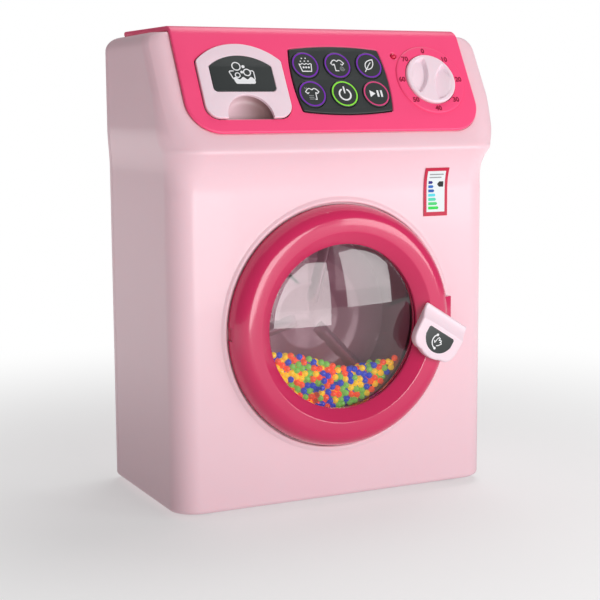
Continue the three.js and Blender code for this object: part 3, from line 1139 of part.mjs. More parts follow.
function smallPieces() {
  for (const [i, [x, z]] of towerPlaces.entries()) {
    const head = screw.sink - gap - bodyDepth;
    const body = joined([disc(screw.head, head - screw.headHeight, head, x, z, screw.steps),
      disc(screw.shank, head - gap, -tower.meet + screw.reach, x, z, screw.steps)]);
    piece(`cover_screw_${i + 1}`, placedAtFloor(body), finish.steel);
  }
  for (const [i, [x, y]] of footPlaces.entries()) {
    const top = baseHeight + foot.sink - gap;
    const pad = revolve([[0, 0], [foot.radius - foot.taper, 0], [foot.radius, foot.taper],
      [foot.radius, top], [0, top]], x, y, foot.steps);
    piece(`foot_${i + 1}`, pad, finish.rubber);
  }
  for (const [i, [x, y]] of postPlaces.entries()) {
    const body = joined([
      disc(screw.head, -frame.plateBack - gap - screw.headHeight, -frame.plateBack - gap, x, y,
        screw.steps),
      disc(screw.shank, -frame.plateBack - screw.headHeight, screw.reach - frame.plateFront, x, y,
        screw.steps)]);
    piece(`frame_screw_${i + 1}`, body, finish.steel, front);
  }
}

// Label: a strip of bars on the front face that bends with it under the lip.
function levelLabel() {
  const band = block(label.left, label.right, label.low - doorHeight, label.high - doorHeight, 0, lipOut);
  const skin = cut(cabinetForm(-label.lift - label.thick), cabinetForm(-label.lift));
  piece('level_label', skin.intersect(placed(band, front)), finish.label);
}

frontShell();
rearCover();
levelLabel();
controlFascia();
controls();
drawerPieces();
doorPieces();
latchPieces();
drumPieces();
gearFrame();
drivePieces();
powerPieces();
smallPieces();

// The origin is the middle of the outline at floor level.
const bounds = new THREE.Box3().setFromObject(machine);
machine.position.y = -(bounds.min.y + bounds.max.y) / 2;
machine.updateMatrixWorld(true);

export default machine;
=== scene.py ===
import math
from contextlib import contextmanager
import bmesh
import bpy
import numpy as np
from mathutils import Matrix, Vector


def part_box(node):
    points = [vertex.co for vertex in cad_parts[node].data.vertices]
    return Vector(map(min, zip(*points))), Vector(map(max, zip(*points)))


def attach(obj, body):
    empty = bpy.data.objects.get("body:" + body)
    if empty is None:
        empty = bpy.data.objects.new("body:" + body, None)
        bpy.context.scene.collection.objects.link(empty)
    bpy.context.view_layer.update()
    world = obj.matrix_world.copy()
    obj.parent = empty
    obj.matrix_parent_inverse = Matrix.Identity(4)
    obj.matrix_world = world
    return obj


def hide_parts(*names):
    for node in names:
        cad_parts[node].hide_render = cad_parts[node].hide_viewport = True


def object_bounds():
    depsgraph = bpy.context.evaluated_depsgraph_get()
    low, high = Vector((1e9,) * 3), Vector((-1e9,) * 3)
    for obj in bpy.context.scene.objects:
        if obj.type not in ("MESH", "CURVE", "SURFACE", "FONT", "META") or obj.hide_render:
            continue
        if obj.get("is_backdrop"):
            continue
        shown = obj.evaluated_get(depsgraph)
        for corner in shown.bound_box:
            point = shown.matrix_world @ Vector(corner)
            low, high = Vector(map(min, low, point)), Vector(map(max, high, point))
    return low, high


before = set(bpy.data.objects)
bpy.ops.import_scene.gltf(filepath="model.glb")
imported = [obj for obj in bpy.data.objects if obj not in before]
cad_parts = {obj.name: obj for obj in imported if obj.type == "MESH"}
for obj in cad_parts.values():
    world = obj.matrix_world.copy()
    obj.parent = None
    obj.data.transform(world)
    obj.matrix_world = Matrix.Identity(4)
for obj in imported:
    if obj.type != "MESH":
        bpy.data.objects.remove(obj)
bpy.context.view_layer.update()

# All sizes are in millimetres: x to the right, y to the back, z up from the table.
case = {
    "bodyHalf": 100.0, "headHalf": 105.3, "depth": 112.0, "topHeight": 270.4, "roofHeight": 267.0,
    "baseHeight": 3.0, "wall": 1.7, "seamDepth": 99.4, "seamGap": 0.3, "lipOut": 12.0, "lipHeight": 204.6,
    "tilt": 29.4, "proud": 1.8, "frontRadius": 14.0, "backRadius": 10.0, "lipRadius": 20.0, "headRadius": 9.0,
    "edge": 2.5, "roofEdge": 8.0, "filletStart": 178.0, "flareStart": 190.0, "flareEnd": 215.0,
    "lipRound": 1.2, "ridgeRise": 3.0, "radiusSettle": 27.0, "backFlare": 0.2, "filletPull": 0.52,
    "filletReach": 0.45, "doorHeight": 103.0,
}
quarter = math.pi / 2
slope = math.radians(case["tilt"])
foldZ = case["topHeight"]
foldY = (foldZ - case["lipHeight"]) * math.tan(slope) - case["lipOut"]
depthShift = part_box("front_shell")[1].y * 1000 - case["seamDepth"]


# Frames, outlines and surfaces.

def rowsOf(*columns):  # numbers and arrays side by side, as the columns of one array
    return np.stack(np.broadcast_arrays(*columns), -1)


def toFrame(points):  # millimetres of the cabinet to metres of the shared frame
    return (np.asarray(points, float) + [0.0, depthShift, 0.0]) / 1000


def onFront(points):  # (x, height over the door's centre, distance out of the front face)
    x, u, h = np.asarray(points, float).T
    return rowsOf(x, -h, case["doorHeight"] + u)


def onBack(points):  # (x, height over the floor, distance out of the back face)
    x, z, h = np.asarray(points, float).T
    return rowsOf(x, case["depth"] + h, z)


def onFascia(points):  # (x, distance up the slope from the fold, distance out of the pink panel)
    x, u, h = np.asarray(points, float).T
    return rowsOf(x, foldY + u * math.sin(slope) - h * math.cos(slope),
                  foldZ + u * math.cos(slope) + h * math.sin(slope))


def spun(points, degrees):  # turned about the origin, in the first two columns
    x, y, *rest = np.asarray(points, float).T
    turn = math.radians(degrees)
    return rowsOf(x * math.cos(turn) - y * math.sin(turn), x * math.sin(turn) + y * math.cos(turn), *rest)


def smooth(t, low=0.0, high=1.0):  # a soft step from 0 to 1: three squares less two cubes of the share
    t = np.clip((np.asarray(t, float) - low) / (high - low), 0, 1)
    return t * t * (3 - 2 * t)


def bezier(controls, steps):  # points of a quadratic or cubic curve from its control points
    line = np.asarray(controls, float)
    t = np.linspace(0, 1, steps + 1)[:, None]
    while len(line) > 1:
        line = [a * (1 - t) + b * t for a, b in zip(line[:-1], line[1:])]
    return line[0]


def arc(x, y, radius, start, end, steps):  # part of a circle, from one angle to another in degrees
    turn = np.radians(np.linspace(start, end, steps + 1))
    return rowsOf(x + radius * np.cos(turn), y + radius * np.sin(turn))


def circle(x, y, radius, steps=64):
    return arc(x, y, radius, 0, 360, steps)[:-1]


def roundBox(left, right, low, high, radius, steps=8):
    # A rectangle with a quarter circle at each corner.
    corners = [(right - radius, high - radius), (left + radius, high - radius),
               (left + radius, low + radius), (right - radius, low + radius)]
    return np.vstack([arc(x, y, radius, 90 * i, 90 * i + 90, steps) for i, (x, y) in enumerate(corners)])


def softened(outline, radius, steps=4):
    # Rounds every corner sharper than 25 degrees with a small quadratic curve.
    p = np.asarray(outline, float)
    before, after = np.roll(p, 1, 0) - p, np.roll(p, -1, 0) - p
    lenB, lenA = np.linalg.norm(before, axis=1), np.linalg.norm(after, axis=1)
    bend = np.degrees(np.arccos(np.clip(-(before * after).sum(1) / (lenB * lenA), -1, 1)))
    parts = []
    for i in range(len(p)):
        cut = min(radius, lenB[i] * 0.45, lenA[i] * 0.45)
        parts.append(p[i:i + 1] if bend[i] < 25 else bezier(
            [p[i] + before[i] / lenB[i] * cut, p[i], p[i] + after[i] / lenA[i] * cut], steps))
    return np.vstack(parts)


def gridFaces(rows, columns, wrapRows=False, wrapColumns=False):  # the quads between a grid's points
    i = np.arange(rows if wrapRows else rows - 1)[:, None]
    j = np.arange(columns if wrapColumns else columns - 1)
    i2, j2 = (i + 1) % rows, (j + 1) % columns
    return rowsOf(i * columns + j, i * columns + j2, i2 * columns + j2, i2 * columns + j).reshape(-1, 4)


def prismOf(outline, low, high, place):  # a closed straight prism of an outline, from low to high
    x, y = np.asarray(outline, float).T
    count = len(x)
    caps = np.arange(2 * count).reshape(2, -1)
    caps[0] = caps[0, ::-1]
    return place(np.vstack([rowsOf(x, y, low), rowsOf(x, y, high)])), [gridFaces(2, count, False, True), caps]


def revolved(profile, place, x=0.0, y=0.0, steps=128, wrap=False):
    # A profile of (radius, height) carried round a circle; a radius of zero closes the pole.
    radius, height = np.asarray(profile, float).T[:, :, None]
    turn = np.arange(steps) * 2 * math.pi / steps
    points = rowsOf(x + radius * np.cos(turn), y + radius * np.sin(turn), height).reshape(-1, 3)
    return place(points), gridFaces(len(radius), steps, wrap, True)


def ribbon(points, width, low, high, closed=False):
    # A strip of even width along a line: its four corners move out by the mitre of the two neighbours.
    p = np.asarray(points, float)
    after, before = np.roll(p, -1, 0) - p, p - np.roll(p, 1, 0)
    if not closed:
        after[-1], before[0] = before[-1], after[0]
    n1, n2 = (rowsOf(-d[:, 1], d[:, 0]) / np.linalg.norm(d, axis=1)[:, None] for d in (before, after))
    mitre = (n1 + n2) / np.maximum(1 + (n1 * n2).sum(1, keepdims=True), 0.3) * width / 2
    corners = [rowsOf(*(p + side * mitre).T, h) for side, h in ((-1, low), (-1, high), (1, high), (1, low))]
    end = 4 * len(p) - 4
    caps = [] if closed else [[[0, 1, 2, 3], [end + 3, end + 2, end + 1, end]]]
    return np.stack(corners, 1).reshape(-1, 3), [gridFaces(len(p), 4, closed, True)] + caps


# Finishes.

def linear(colour):  # a 0-255 screen colour as the renderer's linear one
    tone = np.asarray(colour, float) / 255
    tone = np.where(tone <= 0.04045, tone / 12.92, ((tone + 0.055) / 1.055) ** 2.4)
    return (*tone.tolist(), 1.0)


def setSockets(node, sockets):  # each gets a constant, a socket's value or a node's first output
    for name, value in sockets.items():
        if isinstance(value, bpy.types.Node):
            value = next(output for output in value.outputs if output.enabled)
        if isinstance(value, bpy.types.NodeSocket):
            node.id_data.links.new(value, node.inputs[name])
        else:
            node.inputs[name].default_value = value


def addNode(tree, kind, sockets=None, **settings):
    node = tree.nodes.new("ShaderNode" + kind)
    for name, value in settings.items():
        setattr(node, name, value)
    setSockets(node, sockets or {})
    return node


def newMaterial(name):  # with its tree, its shader and a socket of Object coordinates
    material = bpy.data.materials.new(name)
    material.use_nodes = True
    tree = material.node_tree
    return material, tree, tree.nodes["Principled BSDF"], addNode(tree, "TexCoord").outputs["Object"]


def makeFinish(colour, roughness=0.35, metal=0.0, coat=0.0, bump=0.04, vary=0.02, varyScale=40.0, paintedGlow=0.0,
               subsurface=0.0):
    # Plastic or metal: a broad noise shifts its tint and its gloss, and a fine one gives it a grain. A
    # painted glow, where one is given, lights it in its own colour though it is no lamp.
    material, tree, shader, place = newMaterial("finish")
    base = np.array(linear(colour)[:3])
    pale, deep = ((*np.clip(base * share, 0, 1), 1) for share in (1 + vary, 1 - vary))
    clouds = addNode(tree, "TexNoise", {"Vector": place, "Scale": varyScale, "Detail": 3.0})
    tint = addNode(tree, "Mix", {"Factor": clouds, "A": deep, "B": pale}, data_type="RGBA")
    gloss = addNode(tree, "MapRange", {"Value": clouds, "To Min": max(roughness - 0.04, 0.02),
                                       "To Max": roughness + 0.04})
    grain = addNode(tree, "TexNoise", {"Vector": place, "Scale": 900.0, "Detail": 2.0})
    ripple = addNode(tree, "Bump", {"Height": grain, "Strength": bump, "Distance": 0.0002})
    setSockets(shader, {
        "Base Color": tint, "Roughness": gloss, "Normal": ripple, "Metallic": metal, "Coat Weight": coat,
        "Coat Roughness": 0.06, "Subsurface Weight": subsurface, "Subsurface Radius": (0.004, 0.0015, 0.0015),
        "Emission Color": linear(colour), "Emission Strength": paintedGlow})
    return material


def makeClear(colour, haze, gain):
    # Clear plastic: light goes straight through, and only faces turned to the viewer mirror the room.
    material, tree, shader, place = newMaterial("clear")
    tree.nodes.remove(shader)
    flow = addNode(tree, "TexNoise", {"Vector": place, "Scale": 14.0})
    ripple = addNode(tree, "Bump", {"Height": flow, "Strength": 0.12, "Distance": 0.001})
    smear = addNode(tree, "MapRange", {"Value": flow, "To Min": 0.02, "To Max": 0.05})
    gloss = addNode(tree, "BsdfGlossy", {"Color": (1, 1, 1, 1), "Roughness": smear, "Normal": ripple})
    through = addNode(tree, "BsdfTransparent", {"Color": linear(colour)})
    mist = addNode(tree, "BsdfDiffuse", {"Color": linear(colour)})
    body = addNode(tree, "MixShader", {0: haze, 1: through, 2: mist})
    behind = addNode(tree, "NewGeometry").outputs["Backfacing"]
    front = addNode(tree, "MapRange", {"Value": behind, "To Min": gain, "To Max": 0.0})
    edge = addNode(tree, "Fresnel", {"IOR": 1.5})
    share = addNode(tree, "Math", {0: edge, 1: front}, operation="MULTIPLY", use_clamp=True)
    blend = addNode(tree, "MixShader", {0: share, 1: body, 2: gloss})
    setSockets(tree.nodes["Material Output"], {"Surface": blend})
    return material


def makePaintedShade(light, dark, start, end):  # painted shade: a colour that deepens from one x to another, standing in for the shade on the pocket's far wall
    material = makeFinish(light, 0.4, coat=0.1, vary=0.04)
    tree = material.node_tree
    shader = tree.nodes["Principled BSDF"]
    across = addNode(tree, "SeparateXYZ", {"Vector": addNode(tree, "TexCoord").outputs["Object"]})
    ramp = addNode(tree, "MapRange", {"Value": across, "From Min": start / 1000, "From Max": end / 1000},
                   interpolation_type="SMOOTHSTEP")
    tint = shader.inputs["Base Color"].links[0].from_socket
    spread = addNode(tree, "Mix", {"Factor": ramp, "A": tint, "B": linear(dark)}, data_type="RGBA")
    setSockets(shader, {"Base Color": spread})
    return material


finishes = {
    "palePink": makeFinish((246, 205, 215), 0.36, coat=0.15, subsurface=0.12, vary=0.015),
    "hotPink": makeFinish((255, 77, 129), 0.42),
    "raspberry": makeFinish((212, 34, 92), 0.2, coat=0.6, vary=0.03, bump=0.02),
    "blush": makeFinish((246, 221, 231), 0.34, coat=0.2, subsurface=0.1, vary=0.01),
    # painted shade: the scoop's pink darkens towards the right, where the pocket's wall lies in shade
    "scoopShade": makePaintedShade((228, 196, 204), (146, 112, 112), -66, -43),
    "charcoal": makeFinish((50, 54, 54), 0.42, coat=0.05, vary=0.05),
    "mauve": makeFinish((146, 96, 116), 0.3, coat=0.2, vary=0.08),
    "rubber": makeFinish((96, 94, 96), 0.75, bump=0.2, vary=0.08),
    "solderMask": makeFinish((30, 96, 56), 0.4, vary=0.12, varyScale=160),
    "natural": makeFinish((222, 218, 208), 0.45, vary=0.03),
    "acetal": makeFinish((226, 224, 214), 0.4, vary=0.03),
    "zinc": makeFinish((176, 178, 184), 0.32, metal=1.0, vary=0.08, varyScale=220),
    "brass": makeFinish((205, 164, 82), 0.28, metal=1.0, vary=0.08, varyScale=220),
    "darkMoulding": makeFinish((30, 30, 34), 0.55, vary=0.1),
    "cellWrap": makeFinish((40, 92, 156), 0.3, coat=0.5, vary=0.05),
    "signalRed": makeFinish((214, 22, 70), 0.3, coat=0.3),
    "whitePrint": makeFinish((240, 240, 242)),
    "crimsonPrint": makeFinish((148, 4, 48), 0.4, vary=0.04),
    "violetPrint": makeFinish((126, 40, 186)),
    "greenPrint": makeFinish((146, 240, 66)),
    "rosePrint": makeFinish((224, 70, 130)),
    "greyPrint": makeFinish((150, 152, 154)),
    "labelWhite": makeFinish((226, 232, 234), 0.5, vary=0.01),
    "labelFrame": makeFinish((196, 0, 58), 0.5),
    "labelInk": makeFinish((10, 12, 16), 0.6),
    "window": makeClear((254, 250, 251), 0.004, gain=1.5),
    "lid": makeClear((254, 251, 252), 0.002, gain=0.4),
}


# Meshes and pieces.

@contextmanager
def reshaping(mesh):  # a mesh opened for editing and written back
    shape = bmesh.new()
    shape.from_mesh(mesh)
    yield shape
    shape.to_mesh(mesh)
    shape.free()


def newMesh(name, points, faces):  # faces as one array, or a list of blocks with as many corners each
    blocks = faces if isinstance(faces, list) else [faces]
    mesh = bpy.data.meshes.new(name)
    corners = [face for block in blocks for face in np.asarray(block).tolist()]
    mesh.from_pydata(toFrame(points).tolist(), [], corners)
    return mesh


def newObject(name, data):
    obj = bpy.data.objects.new(name, data)
    bpy.context.scene.collection.objects.link(obj)
    return obj


def evaluated(obj):  # the object's mesh with its modifiers applied
    bpy.context.view_layer.update()
    return bpy.data.meshes.new_from_object(obj.evaluated_get(bpy.context.evaluated_depsgraph_get()))


def movePoints(mesh, move):  # every vertex through a function of the whole array
    flat = np.empty(len(mesh.vertices) * 3)
    mesh.vertices.foreach_get("co", flat)
    mesh.vertices.foreach_set("co", toFrame(move(flat.reshape(-1, 3))).ravel())


def addPiece(name, points, faces, finish, body, **more):
    return finishPiece(name, newMesh(name, points, faces), finish, body, **more)


def finishPiece(name, mesh, finish, body, stands=(), slot=None, merge=0.0, recalc=True, sharp=40.0,
                weighted=False, solid=0.0, solidOffset=-1.0, cutters=()):
    # Merges and turns the mesh, gives it its wall and its cuts, dresses it and hands it to its body.
    with reshaping(mesh) as shape:
        if merge:
            bmesh.ops.remove_doubles(shape, verts=shape.verts, dist=merge / 1000)
            bmesh.ops.dissolve_degenerate(shape, dist=1e-7, edges=shape.edges)
        if recalc:
            bmesh.ops.recalc_face_normals(shape, faces=shape.faces)
    obj = newObject(name, mesh)
    if solid:
        shell = obj.modifiers.new("wall", "SOLIDIFY")
        shell.thickness, shell.offset = solid / 1000, solidOffset
    for cutter in cutters:
        carve = obj.modifiers.new("carve", "BOOLEAN")
        carve.operation, carve.solver, carve.object = "DIFFERENCE", "EXACT", cutter
    if solid or cutters:
        mesh = evaluated(obj)
        obj.modifiers.clear()
        obj.data = mesh
    for cutter in cutters:
        bpy.data.objects.remove(cutter)
    mesh.materials.clear()
    mesh.materials.append(finishes[finish])
    mesh.shade_smooth()
    if sharp is not None:
        mesh.set_sharp_from_angle(angle=math.radians(sharp))
    if weighted:
        obj.modifiers.new("even", "WEIGHTED_NORMAL").keep_sharp = True
    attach(obj, body)
    if stands:
        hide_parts(*stands)
    return obj


def addRevolved(name, profile, finish, body, place=onFront, x=0.0, y=0.0, steps=128, wrap=False, **more):
    points, faces = revolved(profile, place, x, y, steps, wrap)
    return addPiece(name, points, faces, finish, body, **{"merge": 0.002, **more})


def makeCutter(outline, low, high, place):  # a prism that is cut out of a piece and then removed
    mesh = newMesh("cutter", *prismOf(outline, low, high, place))
    with reshaping(mesh) as shape:
        bmesh.ops.recalc_face_normals(shape, faces=shape.faces)
    return newObject("cutter", mesh)


def flatPlate(name, outlines, back, front, finish, body, place=onFascia, bevel=0.4, bevelSteps=3, cuts=(),
              **more):
    # A sheet between two heights with rounded edges, from closed outlines, the inner ones being holes.
    curve = bpy.data.curves.new(name, "CURVE")
    curve.dimensions, curve.fill_mode = "2D", "BOTH"
    for outline in outlines:
        spline = curve.splines.new("POLY")
        spline.points.add(len(outline) - 1)
        spline.use_cyclic_u = True
        spline.points.foreach_set("co", rowsOf(*np.asarray(outline, float).T, 0.0, 1.0).ravel())
    curve.extrude = (front - back) / 2 - bevel
    curve.bevel_depth, curve.bevel_resolution, curve.offset = bevel, bevelSteps, -bevel
    mesh = meshFromCurve(curve)
    with reshaping(mesh) as shape:
        bmesh.ops.remove_doubles(shape, verts=shape.verts, dist=0.001)
        for height in cuts:
            bmesh.ops.bisect_plane(shape, geom=shape.verts[:] + shape.edges[:] + shape.faces[:],
                                   plane_co=(0, height, 0), plane_no=(0, 1, 0))
    movePoints(mesh, lambda flat: place(flat + [0, 0, (front + back) / 2]))
    return finishPiece(name, mesh, finish, body, **more)


def meshFromCurve(curve):  # text or a flat curve as a mesh, still lying flat
    obj = newObject(curve.name + "Curve", curve)
    mesh = evaluated(obj)
    mesh.name = curve.name
    bpy.data.objects.remove(obj)
    return mesh


# The cabinet, in two shells on either side of the seam.

def slopeY(z, behind):  # depth, at a height, of a plane that lies behind the pink panel by that much
    return foldY + behind / math.cos(slope) - (foldZ - z) * math.tan(slope)


ridgeZ = case["lipHeight"] - case["proud"] * math.sin(slope) - case["lipRound"]
ridge = (slopeY(ridgeZ, case["proud"]), ridgeZ)
lip = (ridge[0] + case["lipRound"], ridgeZ - case["lipRound"])
aboveZ = ridgeZ + case["ridgeRise"]
straightEnd = case["roofHeight"] - case["roofEdge"]


def halfWidth(z):  # the body's half width, which flares smoothly to the head's
    flare = smooth(z, case["flareStart"], case["flareEnd"])
    return case["bodyHalf"] + (case["headHalf"] - case["bodyHalf"]) * flare


def cornerRadius(z):  # over the lip the front corners settle from the lip's radius to the head's
    left = np.maximum(0, 1 - (np.asarray(z, float) - aboveZ) / case["radiusSettle"])
    return case["headRadius"] + (case["lipRadius"] - case["headRadius"]) * left ** (1 + case["backFlare"])


def roofDraw(z):  # how far the walls draw in at a height, along a quarter circle
    up = np.clip(np.asarray(z, float) - straightEnd, 0, case["roofEdge"])
    return case["roofEdge"] - np.sqrt(case["roofEdge"] ** 2 - up ** 2)


def headSurface(x, z):  # depth of the pale sloping face, which turns back round its corners
    half, radius = halfWidth(z) - roofDraw(z), cornerRadius(z)
    over = np.clip(np.abs(x) - (half - radius), 0, radius)
    return slopeY(z, case["proud"]) + radius - np.sqrt(radius ** 2 - over ** 2)


def browCurve(steps):  # (depth, height) from the flat front forward to the lip
    start, rise = case["filletStart"], lip[1] - case["filletStart"]
    reach = rise * (1 - case["filletPull"])
    return bezier([(0, start), (0, start + rise * case["filletPull"]),
                   (lip[0] + reach * case["filletReach"], lip[1] - reach * case["filletReach"]), lip], steps)


def cabinetLevels():
    # Rows of (height, front line, draw of the walls, front corner radius) from the base to the roof.
    radius, foot = case["frontRadius"], case["baseHeight"] + case["edge"]
    turn = np.linspace(0, quarter, 7)
    base = rowsOf(foot - case["edge"] * np.cos(turn), 0, case["edge"] * (1 - np.sin(turn)), radius)
    flat = rowsOf(np.linspace(foot, case["filletStart"], 37)[1:], 0, 0, radius)
    y, z = browCurve(28)[1:].T
    brow = rowsOf(z, y, 0, radius + (case["lipRadius"] - radius) * np.arange(1, 29) / 28)
    y, z = bezier([lip, ridge, (slopeY(aboveZ, case["proud"]), aboveZ)], 10)[1:].T
    nose = rowsOf(z, y, 0, case["lipRadius"])
    z = np.linspace(aboveZ, straightEnd, 21)[1:]
    face = rowsOf(z, slopeY(z, case["proud"]), 0, cornerRadius(z))
    z = straightEnd + case["roofEdge"] * np.sin(np.linspace(0, quarter, 10)[1:])
    roof = rowsOf(z, slopeY(z, case["proud"]), roofDraw(z), case["headRadius"])
    blocks = [base, flat, brow, nose, face, roof]
    ends = np.cumsum([len(block) for block in blocks]) - 1
    return np.vstack(blocks), {"flatLow": ends[0], "flatHigh": ends[1], "above": ends[3], "top": ends[5]}


# Steps round each kind of corner and across the front, and where the pink panel's border leaves a corner.
turns = {"front": 16, "back": 12, "across": 40, "side": 8}
frontLeft = turns["front"] + 1 + 2 * (turns["back"] + 1)
lastLeft = frontLeft + turns["front"]


def cabinetRings(rows):
    # Each row as one closed outline: front right corner, back right, back left, front left, then the front.
    z, y, draw, radius = rows.T[:, :, None]
    half, back = halfWidth(z) - draw, case["backRadius"]
    backHalf = case["bodyHalf"] + (halfWidth(z) - case["bodyHalf"]) * case["backFlare"] - draw
    yFront, yBack = y + np.where(z < case["doorHeight"], draw, 0), case["depth"] - draw
    corners = [(half - radius, yFront + radius, radius, -90, turns["front"]),
               (backHalf - back, yBack - back, back, 0, turns["back"]),
               (back - backHalf, yBack - back, back, 90, turns["back"]),
               (radius - half, yFront + radius, radius, 180, turns["front"])]
    parts = []
    for x0, y0, r, start, steps in corners:
        turn = np.radians(start + np.linspace(0, 90, steps + 1))
        parts.append(rowsOf(x0 + r * np.cos(turn), y0 + r * np.sin(turn), z))
    share = np.arange(1, turns["across"]) / turns["across"]
    return np.concatenate(parts + [rowsOf((radius - half) * (1 - 2 * share), yFront, z)], 1)


door = {
    "radius": 69.2, "innerRadius": 46.9, "crest": 12.0, "back": 0.3, "seatRadius": 69.9, "seatDepth": 1.3,
    "rimRadius": 73.4, "rimHeight": 0.95, "opening": 53.4, "openingDepth": 9.0,
    "lugLow": -22.0, "lugHigh": 13.4, "fadeLow": (-24, -19), "fadeHigh": (11.5, 15),
}
plate = {"half": 91.2, "drop": 66.0, "radius": 19.0, "farRadius": 1.5, "thick": 2.2, "gap": 0.1,
         "foldRadius": 9.0, "ledge": 7.4}


def rimProfile():  # from the flat front over the raised rim, down to the door's seat and into the opening
    r, s, hole = door["seatRadius"], door["seatDepth"], door["opening"]
    return [(door["rimRadius"], 0), (r + 3.1, 0.14), (r + 2.6, 0.45), (r + 1.9, 0.82),
            (r + 1.2, door["rimHeight"]), (r + 0.65, 0.88), (r + 0.25, 0.62), (r + 0.05, 0.25), (r, -0.2),
            (r, 0.2 - s), (r - 0.15, -s), (r - 3, -s), (r - 8, -s), (hole + 1.2, -s),
            (hole + 0.4, -s - 0.15), (hole, -s - 0.6), (hole, -4), (hole, -door["openingDepth"])]


def frontPatch(rings, marks):
    # The flat front: layers from its rectangle to the rim's circle, then the rim's profile inwards. Beside
    # the lug the rim fades out.
    block = rings[marks["flatLow"]:marks["flatHigh"] + 1][:, [*range(lastLeft, rings.shape[1]), 0]]
    outer = np.vstack([block[:-1, -1], block[-1, :0:-1], block[:0:-1, 0], block[0, :-1]])
    flat = outer[:, [0, 2]] - [0, case["doorHeight"]]
    angle = np.arctan2(flat[:, 1], flat[:, 0])
    way = rowsOf(np.cos(angle), np.sin(angle))
    degrees = np.degrees(angle)
    fade = 1 - smooth(degrees, *door["fadeLow"]) * (1 - smooth(degrees, *door["fadeHigh"]))
    layers = [rowsOf(*(flat * (1 - share) + way * door["rimRadius"] * share).T, 0)
              for share in (0, 0.25, 0.5, 0.75, 0.92)]
    layers += [rowsOf(*(way * r).T, h * (fade if h > 0 else 1)) for r, h in rimProfile()]
    return onFront(np.vstack(layers)), gridFaces(len(layers), len(outer), False, True)


def recessOutline(x, z, grow):
    # The nearest point, across the face, on the pink panel's outline: straight sides, round lower corners.
    side, low, radius = plate["half"] + grow, plate["drop"] + grow, plate["radius"] + grow
    lean = case["proud"] * math.sin(slope)
    u = (z - foldZ + lean) / math.cos(slope)
    cx, cu = side - radius, radius - low
    dx, du = np.maximum(np.abs(x) - cx, 1e-9), np.minimum(u - cu, 0)
    reach = np.hypot(dx, du)
    onX = np.where(np.abs(x) <= cx, np.abs(x), np.where(u > cu, side, cx + radius * dx / reach))
    onU = np.where(np.abs(x) <= cx, -low, np.where(u > cu, u, cu + radius * du / reach))
    return np.sign(x) * onX, foldZ + onU * math.cos(slope) - lean


def headPatch(rings, marks):
    # The pale strip round the pink panel, its recess wall and the ledge under the panel, in layers.
    around = [*range(frontLeft + turns["side"], rings.shape[1]), *range(turns["side"] + 1)]
    block = rings[marks["above"]:][:, around]
    outer = np.vstack([block[::-1, 0], block[0, 1:-1], block[:, -1]])
    x, _, z = outer.T
    gap = plate["gap"]
    x1, z1 = recessOutline(x, z, gap + 0.5)
    layers = [outer]
    for share in (0.3, 0.6, 0.85, 1.0):
        xs, zs = x + (x1 - x) * share, z + (z1 - z) * share
        layers.append(rowsOf(xs, headSurface(xs, zs), zs))
    for grow, drop in ((gap + 0.15, 0.12), (gap, 0.4), (gap, 0.7), (-plate["ledge"], 0.7)):
        xs, zs = recessOutline(x, z, grow)
        ys = headSurface(xs, zs) if grow > 0 else slopeY(zs, case["proud"])
        keep = 1 - smooth(z, case["roofHeight"] - 12, case["roofHeight"])
        layers.append(rowsOf(xs, ys + drop * math.cos(slope), zs - drop * math.sin(slope) * keep))
    return np.stack(layers)


def cabinetSkin():
    # The rings, open at the flat front and the head, then the two patches, the roof and the floor.
    rows, marks = cabinetLevels()
    rings = cabinetRings(rows)
    count, side, above = rings.shape[1], turns["side"], marks["above"]
    faces = gridFaces(len(rows), count, False, True).reshape(-1, count, 4)
    keep = np.ones(faces.shape[:2], bool)
    keep[marks["flatLow"]:marks["flatHigh"], lastLeft:] = False
    keep[above:, frontLeft + side:] = keep[above:, :side] = False
    front, frontFaces = frontPatch(rings, marks)
    head = headPatch(rings, marks)
    layers, across = head.shape[:2]
    frontStart = len(rows) * count
    headStart = frontStart + len(front)
    headLeft = headStart + np.arange(layers) * across
    roof = np.concatenate([marks["top"] * count + np.arange(side, frontLeft + side + 1), headLeft[1:],
                           (headLeft + across - 1)[:0:-1]])
    points = np.vstack([rings.reshape(-1, 3), front, head.reshape(-1, 3)])
    return points, [faces[keep], frontFaces + frontStart, gridFaces(layers, across) + headStart, [roof],
                    [range(count)]]


def splitSkin(name, front):  # the cabinet's skin on one side of the seam
    mesh = newMesh(name, *cabinetSkin())
    seam = (case["seamDepth"] + (0 if front else case["seamGap"]) + depthShift) / 1000
    with reshaping(mesh) as shape:
        bmesh.ops.remove_doubles(shape, verts=shape.verts, dist=3e-6)
        bmesh.ops.recalc_face_normals(shape, faces=shape.faces)
        bmesh.ops.bisect_plane(shape, geom=shape.verts[:] + shape.edges[:] + shape.faces[:],
                               plane_co=(0, seam, 0), plane_no=(0, 1, 0), clear_outer=front,
                               clear_inner=not front)
    return mesh


def addShell(name, node, front, cutters):
    finishPiece(name, splitSkin(name, front), "palePink", "cabinet", stands=[node], slot="pale_pink",
                recalc=False, sharp=50, weighted=True, solid=case["wall"], cutters=cutters)
    print(name, "made")


latchSlot = {"x": 58.5, "u": -3.0, "half": 2.6, "reach": 5.3, "turn": 58}
slotOutline = spun(np.vstack([arc(0, 0, latchSlot["half"], 90, 270, 8),
                              arc(latchSlot["reach"], 0, latchSlot["half"], -90, 90, 8)]), latchSlot["turn"])
addShell("cabinetShell", "front_shell", True,
         [makeCutter(slotOutline + [latchSlot["x"], latchSlot["u"]], -7, 4, onFront)])

